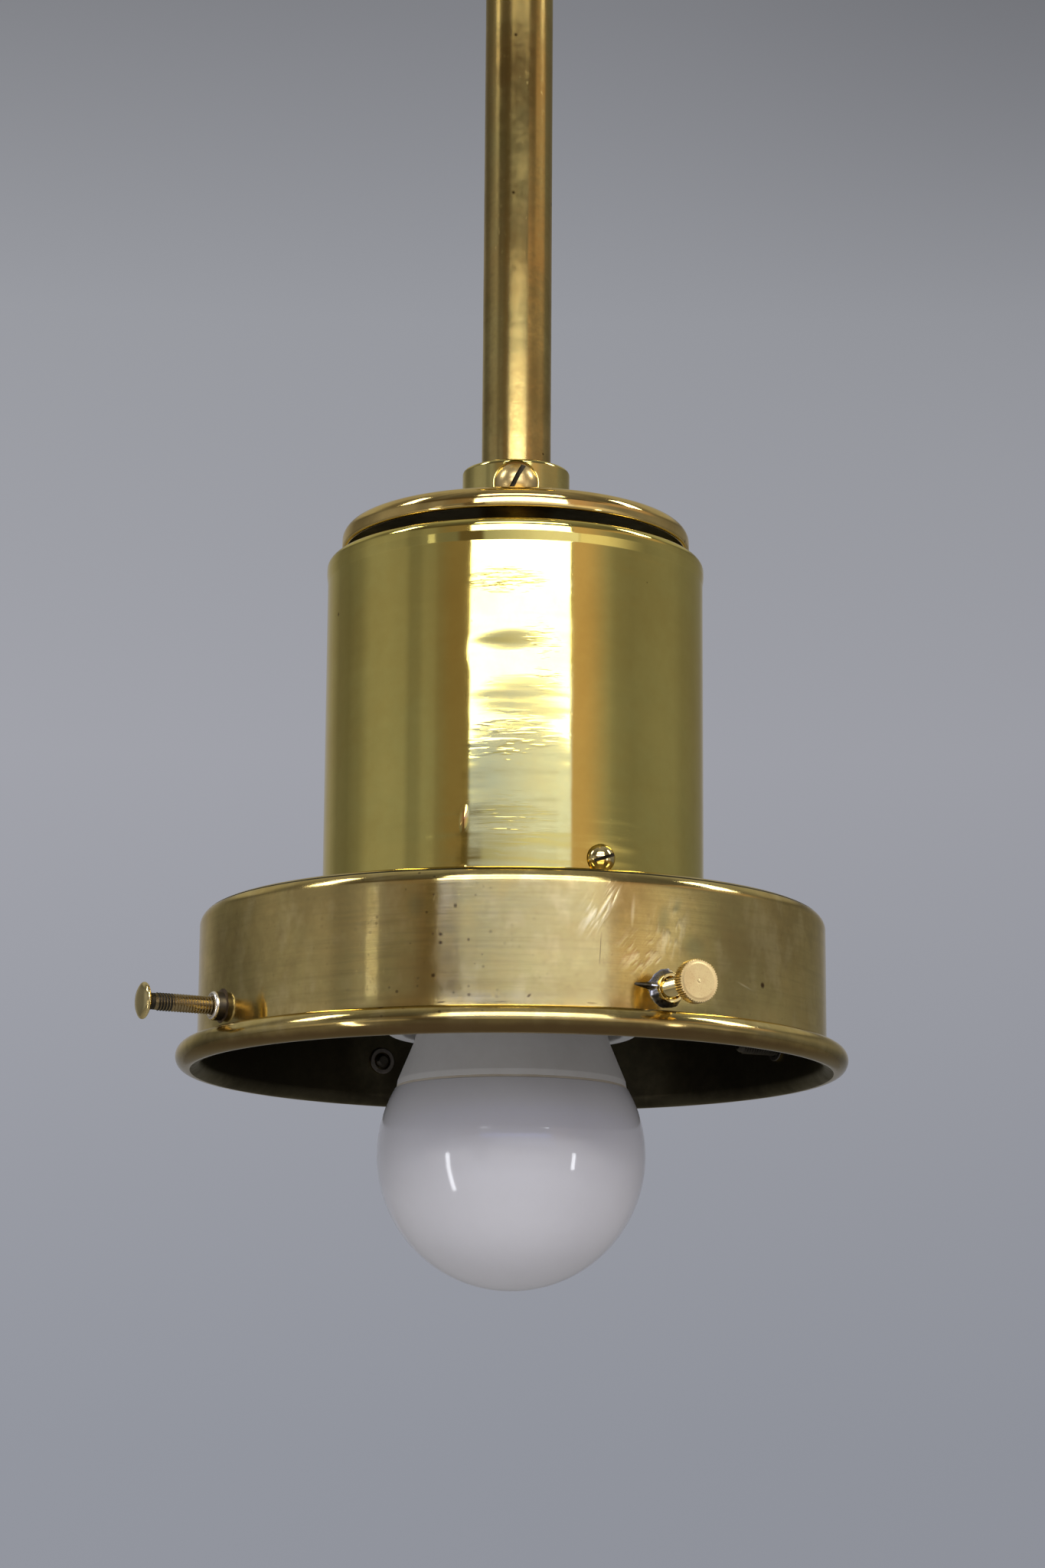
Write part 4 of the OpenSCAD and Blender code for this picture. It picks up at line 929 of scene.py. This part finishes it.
def set_place(base):
    """Where a set screw's head sits, sunk into the collar that stands on this height."""
    return outwards(0, base + SET_RISE) @ up(COLLAR_R - SET_SINK)


def make_collar(name, base, body, node):
    outline = square_ring(SLIDE_R, COLLAR_R, base, base + COLLAR_H, (0.2, 0.35, 0.6, 0.3))
    seat = moved(drill(SET_HEAD_R + 0.1, 5), set_place(base))
    piece(name, cut(spun(outline, steps=128), seat), body, node, "collar_brass", COLLAR_BRASS)


def make_set_screw(name, base, body, node):
    head = moved(slotted_head(SET_HEAD_R, 3.0, 64, 0.8, 1.4), set_place(base))
    piece(name, head, body, node, "collar_brass", SET_BRASS, SLOT_SHADE_AND_GRIME)


def make_rod():
    outline = square_ring(NIPPLE_R, ROD_R, CUP_TOP, ROD_TOP, (0.15, 0.25, 0.25, 0.15))
    piece("rod_tube", spun(outline, steps=128), "frame", "rod", "rod_brass", ROD_BRASS)


def make_cup_screws():
    """Three small slotted screws low on the cup, each with its slot at another angle."""
    rise, head_r, head_h, shank_r, shank_l = 5.2, 2.4, 2.0, 1.25, 3.4
    made = bmesh.new()
    for i in range(3):
        head = slotted_head(head_r, head_h, 20 + 40 * i, 0.55, 0.9)
        shank = moved(drill(shank_r, shank_l, 24), up(-shank_l))
        place = outwards(SCREW_ANGLE + 120 * i, GALLERY_H + rise) @ up(CUP_R)
        add_mesh(made, moved(add_mesh(head, shank), place))
    piece("cup_screw_set", made, "frame", "cup_screws", "cup_brass", SCREW_BRASS, SLOT_SHADE_AND_GRIME)


# Gallery

def make_gallery():
    """The spun ring: neck, plate, rounded shoulder, wall and rolled bead, from one sheet."""
    shoulder_x = GALLERY_R - SHOULDER_R
    shoulder_z = GALLERY_H - SHOULDER_R
    inner = GALLERY_R - SHEET
    bead_x = inner + BEAD_R - 0.005
    curl_r = BEAD_R - SHEET
    curl_end = 360 + math.degrees(math.acos(-curl_r / BEAD_R)) - 9
    flare_r = 42
    flare_z = 7.0
    outline = [(NECK_R - SHEET, NECK_TOP), (NECK_R - SHEET, GALLERY_H - SHEET)]
    outline += arc(shoulder_x, shoulder_z, SHOULDER_R - SHEET, 90, 0, 10)
    outline += arc(bead_x, BEAD_R, BEAD_R, 180, curl_end, 40)
    outline += arc(bead_x, BEAD_R, curl_r, curl_end, 180, 28)
    outline += arc(GALLERY_R + flare_r, flare_z, flare_r, 183.9, 180, 8)
    outline += [(GALLERY_R, flare_z + 0.4 + i * (shoulder_z - flare_z - 0.8) / 5) for i in range(6)]
    outline += arc(shoulder_x, shoulder_z, SHOULDER_R, 0, 90, 18)
    outline += [(NECK_R, GALLERY_H), (NECK_R, NECK_TOP)]
    # The gallery's inner faces take the nearly black brass: painted shade inside the ring.
    made = mark(spun(outline, steps=256), 1, lambda centre: (
        centre.xy.length < (inner + 0.1 if centre.z > 2 * BEAD_R else bead_x - 0.2)
        and centre.z < GALLERY_H - SHEET / 2))
    piece("gallery_ring", made, "frame", "gallery", "gallery_brass", GALLERY_BRASS, PAINTED_SHADE_INSIDE)


def thumb_place(index):
    return outwards(THUMB_ANGLE + 90 * index, THUMB_Z)


def make_bushes():
    """Four threaded bushes; the left one is worn round and pale at its outer end, brightened there as a
    painted highlight. Each is painted dark as shade at its inner end, and the left one also at its foot
    by the wall.
    """
    made = bmesh.new()
    base = GALLERY_R - SHEET - BUSH_INSET
    top = GALLERY_R + BUSH_PROUD
    bore = SHANK_R + 0.05
    dull, pale = 1, 2
    for i in range(4):
        worn = i == LEFT
        outline = eased([(bore, base, 0.1), (BUSH_R, base, 0.15), (BUSH_R, top, 0.48 if worn else 0.12),
                         (bore + 0.3, top, 0.05), (bore, top - 0.4, 0.05)])
        bush = spun(outline, steps=SMALL_STEPS)
        # The left bush's outer end is pale, partly as a painted highlight.
        if worn:
            mark(bush, pale, lambda centre: True)
        # Inner ends, and the left bush's foot, take the dark material: painted shade.
        mark(bush, dull, lambda centre: centre.z < GALLERY_R + (0.3 if worn else -SHEET))
        add_mesh(made, moved(bush, thumb_place(i)))
    piece("bush_set", made, "frame", "gallery_bushes", "bush_brass", SCREW_BRASS, PAINTED_SHADE_BUSH_END, PALE_BUSH_PAINTED_HIGHLIGHT)


def solder_ring(seed, tail_angle, tail_length, body):
    """Solder run round one bush: uneven in reach and height, drawn out into a tail."""
    steps = 8
    sunk = -0.3
    width = SOLDER_R - BUSH_R
    made = spun([(BUSH_R + width * t / steps, 0.0) for t in range(steps + 1)]
                + [(SOLDER_R, sunk), (BUSH_R, sunk)], steps=96)
    for vertex in made.verts:
        x, y, z = vertex.co
        angle = math.atan2(y, x)
        way = min(1.0, max(0.0, (math.hypot(x, y) - BUSH_R) / width))
        place = Vector((math.cos(angle), math.sin(angle), seed)) * 1.7
        reach = SOLDER_R * (1 + 0.07 * noise.noise(place) + 0.04 * noise.noise(place * 3))
        off = math.atan2(math.sin(angle - tail_angle), math.cos(angle - tail_angle))
        reach += tail_length * math.exp(-(off / TAIL_WIDTH) ** 2)
        height = (body + 0.4 * body * noise.noise(place * 2 + Vector((3, 1, 2)))) * (1 - way) ** 1.4
        radius = BUSH_R + (reach - BUSH_R) * way
        x, y = radius * math.cos(angle), radius * math.sin(angle)
        lump = 0.05 * noise.noise(Vector((x, y, seed)) * 1.8) * (1 - way)
        lift = sunk if z < sunk / 3 else height + lump - 0.02
        vertex.co = (x, y, math.sqrt(GALLERY_R ** 2 - x * x) + lift)
    bmesh.ops.recalc_face_normals(made, faces=made.faces)
    return made


def make_solder():
    """The solder of all four bushes: where its tail points, how long that is, how full it is."""
    made = bmesh.new()
    dark, grime_and_shade = 1, 2
    runs = [(3.05, 2.7, 1.25), (0.6, 0.2, 1.25), (2.0, 0.3, 1.25), (5.2, 0.0, 0.12)]
    for i, run in enumerate(runs):
        ring = solder_ring(i * 7.3, *run)
        # The left solder is darkened as painted shade at the bush's foot.
        if i == LEFT:
            mark(ring, dark, lambda centre: True)
        # The tail's far end takes the slot material, as grime.
        mark(ring, grime_and_shade, lambda centre: centre.xy.length > SOLDER_R * 1.08)
        add_mesh(made, moved(ring, thumb_place(i)))
    piece("solder_runs", made, "frame", "solder_fillets", "solder_grey", SOLDER, SOLDER_PAINTED_SHADE, SLOT_SHADE_AND_GRIME)


def screw_shank(tip, top, root):
    """An M3 thread from the tip up to the head; a worn or dirty one has a shallow root."""
    made = spun([(0, tip), (0.8, tip), (1.15, tip + 0.45), (root, tip + 0.6), (root, top), (0, top)],
                steps=32)
    crest, core, pitch = 1.47, 1.1, 0.5
    tooth = [(root - 0.04, -0.23), (crest, -0.04), (crest, 0.04), (root - 0.04, 0.23)]
    return add_mesh(made, coil(tooth, core, pitch, tip + 0.9, top - 0.5, 28))


def knurled_head(face, thickness, seed):
    """A straight-knurled head with a turned face; its outer face is at this height."""
    radius = 3.4
    flutes = 52
    neck = 1.45
    back = face - thickness
    outline = [(0, back - 0.6), (neck, back - 0.6), (neck, back - 0.12), (neck + 0.12, back),
               (radius - 0.25, back), (radius, back + 0.2), (radius, face - 0.1),
               (radius - 0.07, face), (radius - 0.45, face)]
    outline += [(2.8 - 0.2 * i, face - 0.03 * (i % 2) - 0.02) for i in range(13)]
    outline += [(0.18, face - 0.03), (0, face - 0.12)]
    made = spun(outline, steps=flutes * 4)
    for vertex in made.verts:
        x, y, z = vertex.co
        distance = math.hypot(x, y)
        if distance < radius - 0.5 or z < back:
            continue
        angle = math.atan2(y, x)
        tooth = 0.5 + 0.5 * math.cos(flutes * angle)
        ragged = 1 + 0.5 * noise.noise(Vector((math.cos(angle), math.sin(angle), seed)) * 9)
        share = min(1.0, (distance - radius + 0.5) / 0.4)
        scale = (distance - max(0.0, 0.2 * tooth * ragged * share)) / distance
        vertex.co = (x * scale, y * scale, z)
    return made


def plain_head(face, thickness):
    """A thin mushroom head: domed face, rounded edge and a cone down to the shank."""
    radius = 3.0
    back = face - thickness
    outline = [(0, back - 1.0), (1.3, back - 1.0), (1.4, back - 0.2), (1.8, back + 0.1),
               (2.7, back + 0.45)]
    outline += arc(radius - 0.3, back + 0.8, 0.3, -60, 60, 6)
    outline += [(2.3, face - 0.13), (1.5, face - 0.05), (0.7, face - 0.01), (0, face)]
    return spun(outline, steps=SMALL_STEPS)


def make_thumbscrew(index, side):
    """One thumbscrew: thread, neck and head, with its reach taken from the frame."""
    node = "thumbscrew_" + side
    angle = math.radians(THUMB_ANGLE + 90 * index)
    axis = Vector((math.sin(angle), -math.cos(angle), 0))
    points = [Vector(v.co).dot(axis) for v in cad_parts[node].data.vertices]
    face, tip = max(points) / MM, min(points) / MM
    plain = index == LEFT
    if plain:
        made = add_mesh(plain_head(face, 1.5), screw_shank(tip, face - 2.4, 1.36))
    else:
        made = add_mesh(knurled_head(face, 2.1, 3.1 * index), screw_shank(tip, face - 2.6, 1.24))
    thread_end = face - 1.7
    turned_end, dark, bronze, knurl = 1, 2, 3, 4
    for part in made.faces:
        centre = part.calc_center_median()
        height = centre.z
        # Faces inside the gallery wall are darkened as painted shade; the left screw's thread below its
        # head is dark as well.
        if height < GALLERY_R - SHEET or (plain and face - 5.5 < height < thread_end):
            part.material_index = dark
        elif plain and height < thread_end:
            part.material_index = bronze
        elif not plain and height > face - 0.08:
            part.material_index = turned_end
        elif not plain and centre.xy.length > 2.9:
            part.material_index = knurl
    piece("screw_" + side, moved(made, thumb_place(index)), node, node, "thumbscrew_brass",
          SCREW_BRASS, KNURL_BRASS, DARK_THREAD_AND_SHADE, BRONZE_SHANK, KNURL_EDGE)


# Lampholder

def make_skirt():
    """The white skirt, with the ledge that holds the ceramic plate."""
    inner = HOLDER_R - 2.8
    ledge_r = 14.4
    ledge = SKIRT_TOP - CORE_T
    under = ledge - 1.6
    outline = eased([
        (inner, SKIRT_EDGE, 0.3), (HOLDER_R, SKIRT_EDGE, 1.0), (HOLDER_R, SKIRT_TOP, 0.3),
        (inner, SKIRT_TOP, 0.2), (inner, ledge, 0), (ledge_r, ledge, 0.2),
        (ledge_r, under, 0.2), (inner, under, 0)])
    piece("skirt", spun(outline, steps=128), "frame", "holder_skirt", "holder_white", HOLDER_WHITE)


def rolled_thread(radius, depth, base, top, wall, turn=0.0):
    """Rolled sheet with a lamp cap's wide round thread, wound between two plain ends."""
    middle = radius - depth / 2
    waves = 10
    made, line = line_up([(middle + depth / 2 * math.cos(math.tau * i / waves),
                           base + THREAD_PITCH * i / waves) for i in range(waves + 1)], closed=False)
    turns = (top - base) / THREAD_PITCH - 1
    wound(made, line, turns, top - base - THREAD_PITCH, round(THREAD_STEPS * turns))
    bmesh.ops.remove_doubles(made, verts=made.verts, dist=1e-3)
    for vertex in made.verts:
        x, y, z = vertex.co
        distance = math.hypot(x, y)
        fade = min(1.0, max(0.0, min(z - base, top - z) / (THREAD_PITCH * 0.9)))
        scale = (middle + (distance - middle) * fade) / distance
        vertex.co = (x * scale, y * scale, z)
    bmesh.ops.recalc_face_normals(made, faces=made.faces)
    bmesh.ops.solidify(made, geom=made.faces[:], thickness=wall)
    return moved(made, Matrix.Rotation(turn, 4, "Z"))


def make_shell():
    """The lampholder's screw shell: rolled thread, plain hem and inward flange."""
    base, top = SHELL_BASE, SKIRT_TOP - CORE_T
    hem, plate, hole = 1.2, 0.5, 10.5
    made = rolled_thread(13.95, 0.45, base + 0.4, top - 0.6, 0.3)
    for ring in (square_ring(13.55, 14.0, base, base + hem, (0.1,) * 4),
                 square_ring(hole, 13.6, top - plate, top, (0,) * 4)):
        add_mesh(made, spun(ring, steps=96))
    piece("screw_shell", made, "frame", "holder_shell", "contact_brass", CONTACT_BRASS)


# Bulb

def make_globe():
    """The opal globe, open at its seam, with a thin lip that the housing closes."""
    centre = GLOBE_BASE + GLOBE_R
    inner = GLOBE_R - 1.5
    rise, inner_rise = [math.degrees(math.asin((GLOBE_SEAM - centre) / r)) for r in (GLOBE_R, inner)]
    outline = arc(0, centre, GLOBE_R, -90, rise - 0.8, 60)
    outline += arc(0, centre, GLOBE_R - 0.25, rise - 0.2, rise, 1)
    outline += arc(0, centre, inner, inner_rise, -90, 40)
    piece("globe", spun(outline, steps=160), "bulb", "bulb_globe", "bulb_opal", OPAL)


def make_seam():
    """The thin line of glue between globe and housing."""
    inner, outer, half = 18.4, 19.33, 0.20
    outline = square_ring(inner, outer, GLOBE_SEAM - half, GLOBE_SEAM + half, (0, 0.08, 0.08, 0))
    piece("seam_ring", spun(outline, steps=160), "bulb", None, "bulb_white", SEAM_TAN)


def make_housing():
    """The tapered white housing from the seam up into the metal cap."""
    z, cap = GLOBE_SEAM, BULB_CAP_BASE
    outline = eased([
        (19.3, z, 0.3), (19.15, z + 1.2, 0.8), (16.5, z + 7.6, 3.0), (13.6, cap, 0.3), (12.5, cap, 0),
        (12.5, cap + 4, 0.2), (11.1, cap + 4, 0.2), (11.1, cap - 1, 0), (15.1, z + 7.6, 0),
        (17.8, z + 1.6, 0), (17.8, z, 0)])
    piece("housing", spun(outline, steps=160), "bulb", "bulb_housing", "bulb_white", BULB_WHITE)


def make_bulb_cap():
    """The bulb's metal cap: rolled thread, then a slope to the flat that holds the insulator."""
    top, slope, hole = BULB_CAP_TOP, BULB_CAP_TOP - 1.6, 10.4
    made = rolled_thread(BULB_CAP_R, 0.9, BULB_CAP_BASE, slope, 0.4, turn=1.0)
    outline = [(BULB_CAP_R - 0.45, slope - 0.6), (BULB_CAP_R - 0.45, slope), (BULB_CAP_R - 1.3, top),
               (hole, top), (hole, top - 0.5), (BULB_CAP_R - 1.5, top - 0.5),
               (BULB_CAP_R - 0.9, slope - 0.2), (BULB_CAP_R - 0.9, slope - 0.6)]
    add_mesh(made, spun(outline, steps=96))
    piece("edison_cap", made, "bulb", "bulb_cap_shell", "bulb_cap_metal", BULB_METAL)


# Canopy

def bell(seat, radius, base, end, steps=28):
    """A quarter of an oval, from the seat's edge out and up to the wall."""
    angles = [math.radians(90 * i / steps) for i in range(steps + 1)]
    return [(seat + (radius - seat) * math.sin(a), base + (end - base) * (1 - math.cos(a)))
            for a in angles]


def make_canopy():
    """The deep bell that covers the ceiling hook, with a rolled bead along its rim."""
    seat, bead = 12.0, 1.8
    wall_z = CANOPY_TOP - 16
    radius = half_width("canopy") - 2 * bead + SHEET
    outline = [(SLIDE_R, CANOPY_BASE)] + bell(seat, radius, CANOPY_BASE, wall_z)
    outline += arc(radius - SHEET + bead, CANOPY_TOP - bead, bead, -130, 180, 30)
    outline += bell(seat, radius - SHEET, CANOPY_BASE + SHEET, wall_z)[::-1]
    outline += [(SLIDE_R, CANOPY_BASE + SHEET)]
    piece("canopy_bell", spun(outline), "ceiling_cover", "canopy", "canopy_brass", CANOPY_BRASS)


# Nodes that carry over

def paint_nodes():
    """Every node that carries over gets its finish."""
    finishes = {
        EYE_BRASS: ["hanging_eye"],
        NIPPLE_BRASS: ["upper_nipple", "lower_nipple", "nipple_nut"],
        ZINC: ["nipple_washer", "block_screws", "block_fixing_screw", "holder_lock_screw",
               "terminal_screws"],
        CONTACT_BRASS: ["block_tubes", "centre_contact", "holder_terminals"],
        BLOCK_WHITE: ["terminal_block"],
        LEAD_BROWN: ["live_lead"],
        LEAD_BLUE: ["neutral_lead"],
        HOLDER_WHITE: ["holder_cap"],
        CERAMIC: ["holder_core"],
        BLACK_GLASS: ["bulb_insulator"],
        TINNED: ["bulb_tip_contact"],
        BOARD_GREEN: ["driver_board"],
        PLATE_WHITE: ["led_plate"],
        LED_YELLOW: ["led_chips"],
    }
    for material, nodes in finishes.items():
        for name in nodes:
            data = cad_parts[name].data
            data.materials.clear()
            data.materials.append(material)


for step in (place_camera, light_room, paint_room, lay_floor, paint_nodes, make_rod, make_cup,
             make_cup_screws, make_cover):
    step()
for level, base, body, what in (("lower", COVER_SEAT, "cover", "cover"),
                                ("upper", CANOPY_COLLAR, "ceiling_cover", "canopy")):
    make_collar(level + "_collar", base, body, what + "_collar")
    make_set_screw(level + "_set_screw", base, body, what + "_set_screw")
for step in (make_gallery, make_bushes, make_solder):
    step()
for index, side in enumerate(("right", "rear_right", "rear_left", "left")):
    make_thumbscrew(index, side)
for step in (make_skirt, make_shell, make_globe, make_seam, make_housing, make_bulb_cap, make_canopy):
    step()
